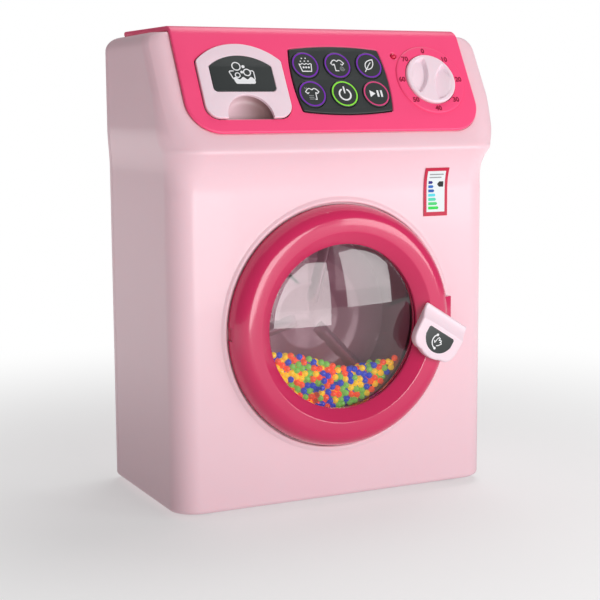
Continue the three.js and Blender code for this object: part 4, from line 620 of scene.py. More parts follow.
back = {"grilleZ": 196.0, "slots": 5, "pitch": 6.0, "half": 15.0, "slotHalf": 1.1, "screwX": 84.0,
        "screwZ": (20.0, 186.0), "hatch": (-31.5, 31.5, 16.5, 71.0), "hatchGap": 0.3}
backCutters = []
for i in range(back["slots"]):
    drop = (i - 2) * back["pitch"]
    reach = math.sqrt(back["half"] ** 2 + back["slotHalf"] ** 2 - (drop * back["half"] / 20) ** 2)
    z, half = back["grilleZ"] + drop, back["slotHalf"]
    backCutters.append(makeCutter(roundBox(-reach, reach, z - half, z + half, half - 0.01, 6), -6, 3, onBack))
left, right, low, high = back["hatch"]
gap = back["hatchGap"]
backCutters.append(makeCutter(roundBox(left - gap, right + gap, low - gap, high + gap, 5.3), -2.1, 3, onBack))
for x in (-back["screwX"], back["screwX"]):
    backCutters += [makeCutter(circle(x, z, 3.2, 24), -6, 3, onBack) for z in back["screwZ"]]
addShell("rearShell", "rear_cover", False, backCutters)

# The pink control panel, folded over into the top.
bendAngle = quarter - slope
setBack = plate["foldRadius"] * math.tan(bendAngle / 2)
bendLength = plate["foldRadius"] * bendAngle
topEnd = bendLength - setBack + case["seamDepth"] - case["seamGap"] - foldY - setBack


def onPanel(points):
    # Unrolled panel: the slope, then a round fold, then the level top; heights follow the turning face.
    x, t, h = np.asarray(points, float).T
    turned = np.clip((t + setBack) / plate["foldRadius"], 0, bendAngle)
    tilt = bendAngle - turned  # how far the face still leans forward
    past, before = np.maximum(t + setBack - bendLength, 0), np.minimum(t + setBack, 0)
    y = foldY + setBack - plate["foldRadius"] * np.sin(tilt) + before * math.sin(slope) + past
    z = foldZ + plate["foldRadius"] * (np.cos(tilt) - 1) + before * math.cos(slope)
    h = np.where(h < 0, h * (1 + 0.42 * turned / bendAngle), h)
    return rowsOf(x, y - h * np.sin(tilt), z + h * np.cos(tilt))


def panelOutline():
    # Unrolled: small corners at the far edge of the top, large ones at the low edge of the slope.
    side, low, radius, small = plate["half"], plate["drop"], plate["radius"], plate["farRadius"]
    return np.vstack([arc(side - small, topEnd - small, small, 0, 90, 4),
                      arc(small - side, topEnd - small, small, 90, 180, 4),
                      arc(radius - side, radius - low, radius, 180, 270, 24),
                      arc(side - radius, radius - low, radius, 270, 360, 24)])


# What sits on the panel: a size across the slope is x, one up the slope from the fold is u.
drawer = {"x": -55.0, "half": 25.4, "top": 11.6, "shoulder": 22.3, "bottom": 57.4, "corner": 8.0, "face": 1.2,
          "scoopRadius": 13.5, "scoopDepth": 8.4, "scoopRise": 0.55}
badge = {"half": 18.4, "top": 19.2, "shoulder": 26.0, "bottom": 41.3, "corner": 2.5}
pad = {"x": 5.5, "u": -33.8, "half": 30.0, "rise": 21.5, "bow": 2.0, "face": 0.5}
dial = {"x": 63.9, "u": -33.4, "radius": 22.0, "rise": 0.8, "numberRadius": 18.9, "numberSize": 4.2}
knob = {"radius": 15.8, "top": 2.2, "turn": -20.0}
lamp = {"x": 43.9, "u": -17.5, "radius": 1.55}
keys = {"x": 5.2, "spacing": 20.2, "rowSpacing": 18.3, "radius": 8.3}


def archOutline(size, grow=0.0):
    # Straight sides and base, with a bowed top between two shoulders.
    x, side, corner = drawer["x"], size["half"] + grow, size["corner"]
    peak, low, rise = grow - size["top"], -size["bottom"] - grow, size["shoulder"] - size["top"]
    radius = (side * side + rise * rise) / (2 * rise)
    reach = math.degrees(math.asin(side / radius))
    return np.vstack([arc(x, peak - radius, radius, 90 - reach, 90 + reach, 24),
                      arc(x - side + corner, low + corner, corner, 180, 270, 10),
                      arc(x + side - corner, low + corner, corner, 270, 360, 10)])


def pillow(grow=0.0):
    # Four bowed sides that meet in crisp corners: each side swells by a parabola.
    side, rise = pad["half"] - pad["bow"] + grow, pad["rise"] - pad["bow"] + grow
    along = np.linspace(-1, 1, 20, endpoint=False)
    swell = pad["bow"] * (1 - along ** 2)
    right, top = rowsOf(side + swell, along * rise), rowsOf(-along * side, rise + swell)
    return softened(np.vstack([right, top, -right, -top]) + [pad["x"], pad["u"]], 1.2)


panelHoles = [softened(archOutline(drawer, 0.3), 2.6), pillow(0.3),
              circle(dial["x"], dial["u"], knob["radius"] + 0.3, 96),
              circle(lamp["x"], lamp["u"], lamp["radius"] + 0.25, 24)]
foldCuts = [-setBack + bendLength * i / 14 for i in range(15)] + [-45, -25, 30, 50]
flatPlate("controlPanel", [panelOutline()] + panelHoles, -plate["thick"], 0, "hotPink", "cabinet",
          place=onPanel, bevel=1.0, bevelSteps=5, cuts=foldCuts, stands=["control_fascia"], slot="hot_pink",
          sharp=35)
inner, outer = knob["radius"], dial["radius"]
dialProfile = [(inner + 0.35, -1.0), (inner + 0.35, 0.45), (inner + 0.5, 0.65), (inner + 0.8, 0.75),
               (outer - 0.9, dial["rise"]), (outer - 0.45, 0.72), (outer - 0.15, 0.45), (outer, 0.0),
               (outer - 0.3, -1.0)]
addRevolved("dialRing", dialProfile, "hotPink", "cabinet", onFascia, dial["x"], dial["u"], wrap=True,
            slot="hot_pink")
print("control panel made")


def knobHeight(x, y):
    # A flat cap with a rounded edge and two crescent scoops that leave a waisted bar between them.
    r = np.hypot(x, y)
    beside = np.abs(x) - (2.0 + 0.024 * y ** 2)
    reach = np.clip((knob["radius"] - 1.9 - r) / 1.2, 0, 1)
    ramp = np.clip(1 - (beside - 1.2) / 9.5, 0.12, 1)
    top = knob["top"] - 2.7 * smooth(beside, 0, 1.7) * ramp * smooth(reach)
    edge = np.clip((r - (knob["radius"] - 1.1)) / 1.1, 0, 1)
    return top - 1.1 * (1 - np.sqrt(1 - edge ** 2))


radii = np.concatenate([[0], np.linspace(0.5, 13.6, 34), np.linspace(13.9, knob["radius"], 12)])
wall = [(knob["radius"], 0.9), (knob["radius"], -2.7), (17.3, -2.9), (17.3, -4.9), (0, -4.9)]
points, faces = revolved(np.vstack([rowsOf(radii, 0), wall]), np.asarray, steps=144)
cap = points[:len(radii) * 144]
cap[:, 2] = knobHeight(cap[:, 0], cap[:, 1])
addPiece("selectorKnob", onFascia(spun(points, knob["turn"]) + [dial["x"], dial["u"], 0]), faces, "blush",
         "dial", stands=["knob"], slot="blush", merge=0.002)


def addNumber(name, text, x, y):
    curve = bpy.data.curves.new(name, "FONT")
    curve.body, curve.size, curve.offset = text, dial["numberSize"], 0.035 * dial["numberSize"]
    curve.align_x, curve.align_y = "CENTER", "CENTER"
    curve.extrude, curve.resolution_u = 0.04, 3
    mesh = meshFromCurve(curve)
    movePoints(mesh, lambda flat: onFascia(
        flat - (flat.min(0) + flat.max(0)) * [0.5, 0.5, 0] + [x, y, dial["rise"] + 0.02]))
    finishPiece(name, mesh, "crimsonPrint", "cabinet", merge=0.001, sharp=30)


for i, (x, y) in enumerate(arc(dial["x"], dial["u"], dial["numberRadius"], 90, -225, 7)):
    addNumber(f"dialNumber{i}", str(i * 10), x, y)
print("dial made")

keyPlaces = [(keys["x"] + (i % 3 - 1) * keys["spacing"], pad["u"] + (0.5 - i // 3) * keys["rowSpacing"])
             for i in range(6)]
flatPlate("buttonPanel", [pillow()] + [circle(x, u, keys["radius"] + 0.25, 64) for x, u in keyPlaces],
          -3.6, pad["face"], "charcoal", "cabinet", bevel=0.45, stands=["button_panel"], slot="black",
          sharp=35)
keyProfile = [(0, -5.1), (9.0, -5.1), (9.0, -3.9), (8.3, -3.9), (8.3, 0.7), (8.25, 0.88), (8.1, 0.98),
              (7.8, 1.0), (7.0, 1.01), (4, 1.05), (2, 1.09), (0, 1.1)]
for i, (x, u) in enumerate(keyPlaces):
    addRevolved(f"pushButton{i + 1}", keyProfile, "charcoal", f"button_{i + 1}", onFascia, x, u, 72,
                stands=[f"key_{i + 1}"], slot="black", sharp=35)
print("buttons made")

drawerOutline = softened(archOutline(drawer), 2.4)
scoopTop = drawer["scoopRise"] - drawer["bottom"]


def drawerFace():
    # The drawer's outline with a half-round finger scoop let in from its lower edge.
    x, low = drawer["x"], -drawer["bottom"]
    start = [x - drawer["half"] + drawer["corner"], low]
    corner = int(np.argmin(np.abs(drawerOutline - start).sum(1))) + 1
    bite = arc(x, scoopTop, drawer["scoopRadius"], 180, 0, 48)
    return np.vstack([drawerOutline[:corner], (bite[0, 0], low), bite, (bite[-1, 0], low),
                      drawerOutline[corner:]])


flatPlate("drawerFront", [drawerFace(), softened(archOutline(badge, 0.25), 2.1)], -1.0, drawer["face"],
          "blush", "detergent_drawer", bevelSteps=4, stands=["drawer"], slot="blush", sharp=35)


def scoopBowl(steps=48, rings=20):
    # A half-round pocket, sunk by a power curve, so that its wall is steep and its floor nearly level.
    turn = np.linspace(0, math.pi, steps + 1)
    sink = np.linspace(0, quarter, rings + 1)[:, None]
    radius = (drawer["scoopRadius"] + 0.5) * np.cos(sink) ** 0.45
    depth = (drawer["scoopDepth"] - 1.6) * np.sin(sink) ** 0.45
    bowl = rowsOf(drawer["x"] + radius * np.cos(turn), scoopTop + radius * np.sin(turn),
                  drawer["face"] - 0.6 - depth)
    return onFascia(bowl.reshape(-1, 3)), gridFaces(rings + 1, steps + 1)


# The scoop and its sill carry the painted shade that darkens towards the right.
addPiece("drawerScoop", *scoopBowl(), "scoopShade", "detergent_drawer", slot="blush", merge=0.002, sharp=50,
         solid=1.0, solidOffset=1.0)
half = drawer["scoopRadius"] + 0.6
sill = roundBox(drawer["x"] - half, drawer["x"] + half, 0.02 - drawer["bottom"], scoopTop + 0.05, 0.12)
addPiece("drawerSill", *prismOf(sill, -8.6, -1.7, onFascia), "scoopShade", "detergent_drawer", sharp=30)
flatPlate("drawerBadge", [softened(archOutline(badge), 1.9)], 0.4, drawer["face"] + 0.1, "charcoal",
          "detergent_drawer", bevel=0.15, bevelSteps=2, stands=["drawer_sticker"], slot="black", sharp=30)


def makeTray():
    # The drawer's tub: a solid front round the pocket, then two open rooms in one moulded box.
    x, low, high, front = drawer["x"], -53.0, -19.5, -11.6
    left, right, roomLow, roomHigh = x - 21, x + 21, low + 1.6, high - 1.2
    reach = drawer["scoopRadius"] + 1.8
    side = math.degrees(math.asin((low - scoopTop) / reach))
    pocket = arc(x, scoopTop, reach, 180 - side, side, 24)
    block = np.vstack([pocket, [(right, low), (right, high), (left, high), (left, low)]])
    tub = roundBox(left, right, low, high, 2.5)
    walls = [tub, roundBox(left + 1.6, x - 0.7, roomLow, roomHigh, 1.6),
             roundBox(x + 0.7, right - 1.6, roomLow, roomHigh, 1.6)]
    for name, outlines, rear, fore, bevel, steps in (
            ("Front", [block], front, -1.2, 0.2, 1), ("Walls", walls, -33.4, front + 0.1, 0.4, 2),
            ("Floor", [tub], -35.0, -33.0, 0.5, 2)):
        flatPlate("drawerTray" + name, outlines, rear, fore, "blush", "detergent_drawer", bevel=bevel,
                  bevelSteps=steps, sharp=35)


makeTray()
print("drawer made")


# The door: its ring with the lug for the handle, and its window.

def ringProfile():
    # Round outer shoulder, level crest with a crisp inner corner, then a nearly straight bevel to the window.
    back, crest, inner = door["back"], door["crest"], door["innerRadius"]
    outer = bezier([(door["radius"], back), (door["radius"], 7.44), (65.0, crest), (59.6, crest)], 18)
    corner = bezier([(54.6, 11.95), (54.15, 11.93), (53.8, 11.7)], 5)
    bevel = bezier([(53.8, 11.7), (51.4, 10.0), (49.6, 8.8), (inner + 0.1, 6.4)], 10)[1:]
    hollow = [(inner, 6.2), (inner, 4.7), (48.9, 5.3), (54.0, 9.6), (59.6, 10.0), (64.0, 9.6), (66.6, 6.6),
              (67.2, 3.0), (67.2, back + 0.2), (67.4, back)]
    return np.vstack([outer, (57.6, crest), (55.6, 11.97), corner, bevel, hollow])


def makeLug():
    # A wedge from the crest to its free edge, drawn in a little at both ends.
    section = np.vstack([[(55.0, 2.0), (69.4, 2.0)], bezier([(70.0, 2.6), (70.0, 7.0), (69.2, 7.9)], 5),
                         bezier([(57.5, 11.75), (56.6, 12.05), (55.0, 11.9)], 4)])
    draws = np.array([(0, 0.45), (0.12, 0.18), (0.45, 0.0)])
    spots = np.vstack([draws + [door["lugLow"], 0], (draws * [-1, 1] + [door["lugHigh"], 0])[::-1]])
    way = np.array([62.0, 5.0]) - section
    way /= np.linalg.norm(way, axis=1)[:, None]
    layers = [rowsOf(section[:, 0] + way[:, 0] * draw, z, section[:, 1] + way[:, 1] * draw)
              for z, draw in spots]
    count = len(section)
    ends = [range(count), range(count * (len(layers) - 1), count * len(layers))]
    addPiece("doorLug", onFront(np.vstack(layers)), [gridFaces(len(layers), count, False, True), ends],
             "raspberry", "door", slot="raspberry", sharp=35)


hingeNotch = [(-75, -3.5), (-64.8, -3.5), (-64.8, 3.5), (-75, 3.5)]
addRevolved("doorRing", ringProfile(), "raspberry", "door", steps=192, wrap=True, stands=["door_ring"],
            slot="raspberry", merge=0, sharp=32, cutters=[makeCutter(hingeNotch, -2, 4.6, onFront)])
makeLug()
pane = {"radius": 46.4, "flange": 51.0, "top": 11.4, "thick": 1.8, "flangeFront": 4.3, "flangeBack": 2.7}


def domeProfile(top, radius, low, steps=24):  # an arc of a ball from its rim to its pole
    rise = top - low
    ball = (radius * radius + rise * rise) / (2 * rise)
    turn = math.asin(radius / ball) * (1 - np.arange(steps + 1) / steps)
    return rowsOf(ball * np.sin(turn), top - ball + ball * np.cos(turn))


paneOuter = domeProfile(pane["top"], pane["radius"] - 0.5, pane["flangeFront"] + 0.9)
paneInner = domeProfile(pane["top"] - pane["thick"], pane["radius"] - pane["thick"], pane["flangeBack"])[::-1]
paneOuter[-1, 0] = paneInner[0, 0] = 0
paneEdge = [(pane["flange"], pane["flangeBack"]), (pane["flange"], pane["flangeFront"]),
            (pane["radius"], pane["flangeFront"]), (pane["radius"] + 0.05, pane["flangeFront"] + 0.5)]
addRevolved("doorWindow", np.vstack([paneInner, paneEdge, paneOuter]), "window", "door", steps=144,
            stands=["door_window"], slot="clear")
print("door made")

# The handle.
grip = {"half": 16.0, "depth": 28.0, "straight": 17.0, "pivot": 7.4, "back": 12.4, "front": 17.6,
        "slope": 9.2, "tip": 1.6, "belly": 17.5, "corner": 1.2, "edge": 1.3, "edgeDrop": 1.1, "crease": 0.28,
        "turn": -32.0, "x": 59.6, "u": -3.0, "badge": 17.62}


def shieldOutline(steps=16):
    # Straight edge up, belly down, pivot at the origin; the left half mirrors the right one.
    half, top, corner, inward = grip["half"], grip["pivot"], grip["corner"], grip["belly"] * 0.5
    sideLow, bellyLow = top - grip["straight"], top - grip["depth"] + 2 * corner
    line = np.vstack([
        bezier([(0, bellyLow - 1.8), (half * 0.3, bellyLow - 1.6), (half - inward, bellyLow)], steps // 2),
        bezier([(half - inward, bellyLow), (half - corner, sideLow - inward), (half - corner / 2, sideLow)],
               steps),
        arc(half - corner, top - corner, corner, 0, 90, 6)])
    return np.vstack([line, (line * [-1, 1])[::-1]])


def resample(outline, count):  # evenly spaced points round a closed outline
    closed = np.vstack([outline, outline[:1]])
    run = np.concatenate([[0], np.cumsum(np.linalg.norm(np.diff(closed, axis=0), axis=1))])
    spots = np.linspace(0, run[-1], count, endpoint=False)
    return rowsOf(np.interp(spots, run, closed[:, 0]), np.interp(spots, run, closed[:, 1]))


def onGrip(points):  # the handle's own frame, turned about its pivot
    return onFront(spun(points, grip["turn"]) + [grip["x"], grip["u"], 0])


def gripHeight(x, y):
    # A hollow slope rises from the straight edge to a crease, then the plateau runs on level.
    low = grip["back"] + grip["tip"]
    below = grip["pivot"] - y
    height = low + (grip["front"] - low) * np.clip(below / grip["slope"], 0, 1) ** 1.8
    groove = np.exp(-((grip["slope"] + 0.1 - below) / grip["crease"]) ** 2)
    groove *= smooth(grip["half"] - 3.6 - np.abs(x), 0, 2)
    return height - grip["crease"] * groove


def makeGrip():
    # Shrunk copies of the outline, rounded down near its edge, then the flat back.
    outline, centre, back = resample(shieldOutline(), 200), np.array([0.0, -6.0]), grip["back"]
    shares = np.concatenate([[0], np.linspace(0.05, 0.9, 40), [0.92, 0.94, 0.958, 0.973, 0.985, 0.994, 1.0]])
    layers = []
    for share in shares:
        x, y = (centre + (outline - centre) * share).T
        fall = np.clip(1 - np.hypot(outline[:, 0] - x, outline[:, 1] - y) / grip["edge"], 0, 1)
        drop = grip["edgeDrop"] * (1 - np.sqrt(1 - fall ** 2))
        height = gripHeight(x, y)
        layers.append(rowsOf(x, y, height - np.minimum(drop, height - back - 0.5)))
    way = (centre - outline) / np.linalg.norm(centre - outline, axis=1)[:, None]
    layers += [rowsOf(*(outline + way * inset).T, back + height)
               for inset, height in ((0.0, 0.45), (0.15, 0.15), (0.45, 0.0), (4.0, 0.0), (8.0, 0.0))]
    layers.append(rowsOf(*centre, np.full(len(outline), back)))
    addPiece("latchGrip", onGrip(np.vstack(layers)), gridFaces(len(layers), len(outline), False, True),
             "blush", "latch", stands=["latch_handle"], slot="blush", merge=0.002, sharp=38)


def shieldBadge():
    # A level top, then two mirrored curves that meet low in the middle; every corner is softened.
    side, high, low, bow = 9.6, grip["pivot"] - 11, grip["pivot"] - 23.5, 3.2
    lower = bezier([(-side, low + 2.2 * bow), (-side * 0.72, low + 0.1), (0, low - 0.15)], 14)
    return softened(np.vstack([[(side, high), (-side, high)], lower, (lower * [-1, 1])[::-1][1:]]), 1.5)


makeGrip()
flatPlate("latchBadge", [shieldBadge()], 17.2, grip["badge"], "charcoal", "latch", place=onGrip, bevel=0.12,
          bevelSteps=2, stands=["latch_sticker"], slot="black", sharp=30)
print("handle made")


# Printed pictures.

def inkPiece(name, finish, body, place, height, strokes=(), fills=(), dots=(), x=0.0, y=0.0):
    # Filled shapes, lines of (points, width) or (points, width, closed) and dots of (x, y, radius), in one
    # piece; each lies a hair above the one before it.
    shapes = [*fills, *strokes, *(circle(*dot, 20) for dot in dots)]
    points, faces, shift = [], [], 0
    for k, shape in enumerate(shapes):
        low, high = height - 0.12, height + 0.03 + 0.004 * (k % 8)
        if len(fills) <= k < len(fills) + len(strokes):
            line, width, *closed = shape
            spots, blocks = ribbon(np.add(line, [x, y]), width, low, high, bool(closed))
        else:
            spots, blocks = prismOf(np.add(shape, [x, y]), low, high, np.asarray)
        points.append(spots)
        faces += [np.asarray(block) + shift for block in blocks]
        shift += len(spots)
    addPiece(name, place(np.vstack(points)), faces, finish, body, sharp=30)


def mirrored(line):
    return [(-x, y) for x, y in line]


def box(left, right, half):
    return [(left, half), (left, -half), (right, -half), (right, half)]


sleeve = [(0, 2.4), (1.3, 3.3), (2.5, 3.0), (4.1, 1.2), (2.9, 0.0), (2.0, 0.8)]
shirt = [(sleeve, 0.55), (mirrored(sleeve), 0.55)]
collar = [(0, 2.4, 0.28)]
tubLine = [(-3.9, 0.8), (-2.7, -4.1), (2.9, -4.1), (3.7, 0.7)]
waterX = np.linspace(-3.6, 3.5, 24)
drops = [(-2.6, 2.3, 0.42), (-0.1, 2.4, 0.42), (2.2, 2.4, 0.42), (-1.5, 4.2, 0.42), (0.9, 4.3, 0.42)]
leaf = np.vstack([bezier([(-2.3, -2.6), (-3.6, 1.6), (-0.4, 3.4), (2.9, 3.7)], 14),
                  bezier([(2.9, 3.7), (3.3, 0.2), (1.4, -3.0), (-2.3, -2.6)], 14)[1:-1]])
stem = [(-3.4, -4.2), (-2.3, -2.6), (-0.2, 0.2), (1.3, 1.9)]
powerRing = arc(0, -0.5, 3.5, 122, 418, 40)
keyArt = [
    ("violetPrint", {"strokes": [(tubLine, 0.6), (rowsOf(waterX, 0.6 + 0.28 * np.sin(waterX * 2.6)), 0.5)],
                     "fills": [circle(v, -1.6, 0.62, 20) for v in (-1.5, 0.1, 1.7)], "dots": drops}),
    ("violetPrint", {"strokes": shirt + [([(-2.0, 0.8), (-1.9, -3.6), (0.2, -3.6)], 0.55)], "dots": collar}),
    ("violetPrint", {"strokes": [(leaf, 0.6, True), (stem, 0.55)]}),
    ("violetPrint", {"strokes": shirt + [([(2.0, 0.8), (1.9, -3.6), (0.9, -3.6)], 0.55)], "dots": collar}),
    ("greenPrint", {"strokes": [(powerRing, 0.95), ([(0, 0.6), (0, 4.2)], 0.95)],
                    "dots": [(*spot, 0.47) for spot in (powerRing[0], powerRing[-1], (0, 0.6), (0, 4.2))]}),
    ("rosePrint", {"fills": [[(-4.2, 2.2), (-4.2, -2.2), (-0.7, 0)],
                             box(0.3, 1.5, 2.1), box(2.6, 3.8, 2.1)]}),
]
for i, ((x, u), (tone, art)) in enumerate(zip(keyPlaces, keyArt)):
    ring = (circle(x, u, 7.5, 72), 0.8, True)
    inkPiece(f"keyRing{i + 1}", tone, f"button_{i + 1}", onFascia, 1.0, strokes=[ring])
    inkPiece(f"keyIcon{i + 1}", "whitePrint", f"button_{i + 1}", onFascia, 1.1, x=x, y=u, **art)
coil = np.linspace(0, 12.5, 60)
swirl = rowsOf(2.4 + (0.25 + 0.11 * coil) * np.cos(coil), -2.2 + (0.25 + 0.11 * coil) * np.sin(coil))
steam = [([(-2.6, h), (0.4, h)], 0.4) for h in (-1.2, -2.3, -3.4)]
steam += [([(-4.4, 3.9), (-3.1, 2.6)], 0.35), ([(-3.2, 3.9), (-2.4, 3.0)], 0.3)]
for name, key, strokes in (("keyIcon2Swirl", 2, [(swirl, 0.3)]), ("keyIcon4Lines", 4, steam)):
    x, u = keyPlaces[key - 1]
    inkPiece(name, "greyPrint", f"button_{key}", onFascia, 1.1, x=x, y=u, strokes=strokes)

surfX = np.linspace(-6.3, 6.1, 40)
basin = np.vstack([(-6.9, -1.0), rowsOf(surfX, -2.2 + 0.75 * np.cos((surfX + 0.4) * 1.35)),
                   [(6.4, -1.2), (6.4, -5.0), (5.7, -5.7), (-4.6, -5.7), (-5.4, -5.2)]])
inkPiece("drawerArt", "whitePrint", "detergent_drawer", onFascia, drawer["face"] + 0.1, x=drawer["x"] + 0.6,
         y=-31.2, fills=[basin], dots=[(0.9, 5.0, 0.95), (-0.6, 1.6, 0.85)],
         strokes=[([(-5.2, 2.3), (-7.5, 2.3), (-8.0, 1.6), (-6.3, -2.6)], 0.6),
                  ([(4.2, 2.4), (5.9, 2.4), (6.5, 1.8), (6.5, -3.0)], 0.6),
                  (circle(-3.2, 5.2, 2.4, 40), 0.65, True), (circle(2.5, 1.4, 2.0, 40), 0.65, True),
                  (circle(-3.4, -0.3, 1.4, 32), 0.6, True)])
hand = [[(-1.6, -1.5), (-1.0, 1.4), (-0.3, 2.5), (0.6, 2.2), (0.3, 0.8)],
        [(0.3, 0.8), (1.3, 1.6), (2.1, 1.2), (1.5, 0.1)],
        [(1.5, 0.1), (2.3, 0.4), (2.9, -0.2), (1.4, -1.9), (0.2, -2.6)], [(-1.6, -1.5), (-2.4, -0.2)]]
swing = arc(0.6, 0.0, 4.3, 128, 262, 30)
inkPiece("latchArt", "whitePrint", "latch", onGrip, grip["badge"], y=grip["pivot"] - 17.0,
         strokes=[(swing, 0.7)] + [(line, 0.5) for line in hand], dots=[(*swing[0], 0.8), (*swing[-1], 0.8)])
print("prints made")

# The lamp and the chart label.
lampProfile = [(0, 0.62), (0.7, 0.58), (1.15, 0.42), (1.45, 0.12), (1.55, -0.3), (1.55, -3.0),
               (2.3, -3.0), (2.3, -8.0), (0, -8.0)]
addRevolved("signalLamp", lampProfile, "signalRed", "cabinet", onFascia, lamp["x"], lamp["u"], 40,
            stands=["status_led"], slot="red_clear", sharp=50)


def onSweep(points):
    # (x, height over the floor, distance out of the front): the face bends forward under the lip, so each
    # point moves out along the normal of its curve.
    x, z, h = np.asarray(points, float).T
    depth, height = browCurve(120).T
    y = np.interp(z, height, depth, left=0.0)
    lean = np.interp(z, height, np.gradient(depth, height), left=0.0)
    size = np.sqrt(1 + lean ** 2)
    return rowsOf(x, y - h / size, z + h * lean / size)


def sweepSheet(name, left, right, low, high, back, front, finish, **more):
    # A rectangle of sticker, split into rows so that it bends with the face.
    rows = np.linspace(low, high, 2 + int(abs(high - low) / 0.8))
    outline = np.vstack([rowsOf(right, rows), rowsOf(left, rows)[::-1]])
    points, (sides, _) = prismOf(outline, back, front, onSweep)
    i = np.arange(len(rows) - 1)
    top = rowsOf(i, i + 1, 2 * len(rows) - 2 - i, 2 * len(rows) - 1 - i)
    addPiece(name, points, [top, top[:, ::-1] + 2 * len(rows), sides], finish, "cabinet", slot="label",
             sharp=30, **more)


label = {"left": 54.8, "right": 70.6, "low": 162.9, "high": 191.0, "face": 0.6, "barTop": 182.5,
         "barPitch": 2.48, "barHalf": 0.85, "barTip": 0.7,
         "bars": [(2.9, (22, 0, 120)), (3.5, (16, 100, 190)), (4.1, (0, 84, 170)), (4.9, (80, 214, 226)),
                  (5.3, (70, 212, 176)), (6.1, (64, 208, 112)), (7.0, (30, 214, 70))]}
left, face = label["left"], label["face"]
sweepSheet("labelFrame", left, label["right"], label["low"], label["high"], 0.25, face + 0.02, "labelFrame",
           stands=["level_label"])
sweepSheet("labelField", left + 1.8, label["right"] - 1.9, label["low"] + 2.4, label["high"] - 1.8, face,
           face + 0.06, "labelWhite")


def labelPrint(name, outline, top, finish):  # a flat print that stands on the label's face
    addPiece(name, *prismOf(outline, face, face + top, onSweep), finish, "cabinet", sharp=30)


for i, (length, tone) in enumerate(label["bars"]):
    finishes[f"labelTone{i + 1}"] = makeFinish(tone, 0.6)
    z, x, half = label["barTop"] - label["barPitch"] * i, left + 2.9, label["barHalf"]
    neck = x + length - label["barTip"]
    bar = [(x, z - half), (neck, z - half), (x + length, z), (neck, z + half), (x, z + half)]
    labelPrint(f"labelBar{i + 1}", bar, 0.1, f"labelTone{i + 1}")
tip = left + 8.7
labelPrint("labelPointer", [(tip, 181.4), (tip + 1.4, 179.8), (tip + 4.2, 179.8), (tip + 4.2, 183.0),
                            (tip + 1.4, 183.0)], 0.1, "labelInk")
for i, z in enumerate((187.2, 185.4)):
    rule = roundBox(left + 3.2, left + 12.6 - 1.2 * i, z - 0.35, z + 0.35, 0.3, 3)
    labelPrint(f"labelRule{i + 1}", rule, 0.09, "greyPrint")
print("label made")

# The drum: a mauve bowl with lifters, and a clear lid with fins.
drum = {"radius": 52.4, "room": 50.8, "count": 3, "lifterTurn": 314, "lifterHalf": 4.2, "lifterHeight": 5.0,
        "finTurn": 254, "finHalf": 0.7}
rim, room = drum["radius"], drum["room"]
bowlProfile = [(0, -43.2), (3.3, -43.2), (3.3, -50), (8, -50), (8, -42), (51.2, -42), (52.1, -41.7),
               (rim, -41), (rim, -8.3), (room, -8.3), (room, -39.2), (50.4, -40.1), (49.4, -40.4),
               (36.2, -40.4), (35.2, -39.8), (33.2, -39.8), (32.2, -40.4), (21.4, -40.4), (20.4, -39.8),
               (18.4, -39.8), (17.4, -40.4), (0, -40.4)]
addRevolved("drumBowl", bowlProfile, "mauve", "drum", steps=144, stands=["drum_back"], slot="mauve")


def makeLifter(name, degrees):
    # A rounded ridge along a radius: its section is a bell, and its ends run down to the floor.
    along = np.concatenate([[8.5], np.linspace(9.0, 50.3, 26), [50.75]])[:, None]
    half = drum["lifterHalf"]
    across = np.linspace(-half, half, 15)
    bell = drum["lifterHeight"] * np.cos(across / half * quarter) ** 1.3
    height = bell * (0.25 + 0.75 * smooth(along, 8.4, 14.0))
    points = np.vstack([rowsOf(along, across, z).reshape(-1, 3) for z in (-40.5 + height, -41.2)])
    rows, columns = height.shape
    grid = np.arange(rows * columns).reshape(rows, columns)
    edge = np.concatenate([grid[0], grid[1:, -1], grid[-1, -2::-1], grid[-2:0:-1, 0]])
    after = np.roll(edge, -1)
    walls = rowsOf(edge, after, after + grid.size, edge + grid.size)
    faces = gridFaces(rows, columns)
    addPiece(name, onFront(spun(points, degrees)), [faces, faces[:, ::-1] + grid.size, walls], "mauve",
             "drum", sharp=35)


for i in range(drum["count"]):
    makeLifter(f"drumLifter{i + 1}", drum["lifterTurn"] + 120 * i)
lidProfile = [(0, -2.5), (50.9, -2.5), (51.9, -2.8), (rim, -3.5), (rim, -8.0), (room, -8.0),
              (room, -4.5), (50.4, -4.1), (0, -4.1)]
addRevolved("drumLid", lidProfile, "lid", "drum", steps=144, stands=["drum_front"], slot="clear")
blade = np.vstack([(34.6, -3.9), bezier([(34.6, -4.1), (38.0, -7.0), (43.1, -7.4)], 8),
                   [(50.9, -7.4), (50.9, -3.9)]])
for i in range(drum["count"]):
    points, faces = prismOf(blade, -drum["finHalf"], drum["finHalf"], np.asarray)
    upright = points[:, [0, 2, 1]]
    addPiece(f"drumFin{i + 1}", onFront(spun(upright, drum["finTurn"] + 120 * i)), faces, "lid", "drum",
             sharp=35)
print("drum made")

# The beads' look gives them a painted glow: they light themselves in their own colours, though they are no
# lamp.
beads = {"radius": 1.9, "front": -7.9, "layer": 8.8, "back": -34.0, "level": -26.0, "hollowX": 16.0,
         "leftRise": 13.0, "rightRise": 8.0, "spread": 30.0, "fall": 0.2, "seed": 7, "rounds": 60,
         "push": 0.42, "frontCount": 400, "topCount": 240,
         "look": {"roughness": 0.22, "coat": 0.4, "vary": 0.03, "varyScale": 300, "paintedGlow": 0.36},
         "tones": {"beadRed": (255, 88, 36), "beadYellow": (255, 214, 24), "beadGreen": (122, 204, 80),
                   "beadBlue": (28, 66, 206)}}


def beadLevel(x, h):
    # The heap's top: a hollow right of the middle, higher at the left wall, sloping down to the back.
    d = x - beads["hollowX"]
    rise = np.where(d < 0, beads["leftRise"], beads["rightRise"])
    height = rise * (1 - np.exp(-(d / beads["spread"]) ** 2))
    return beads["level"] + height + beads["fall"] * (h - beads["front"])


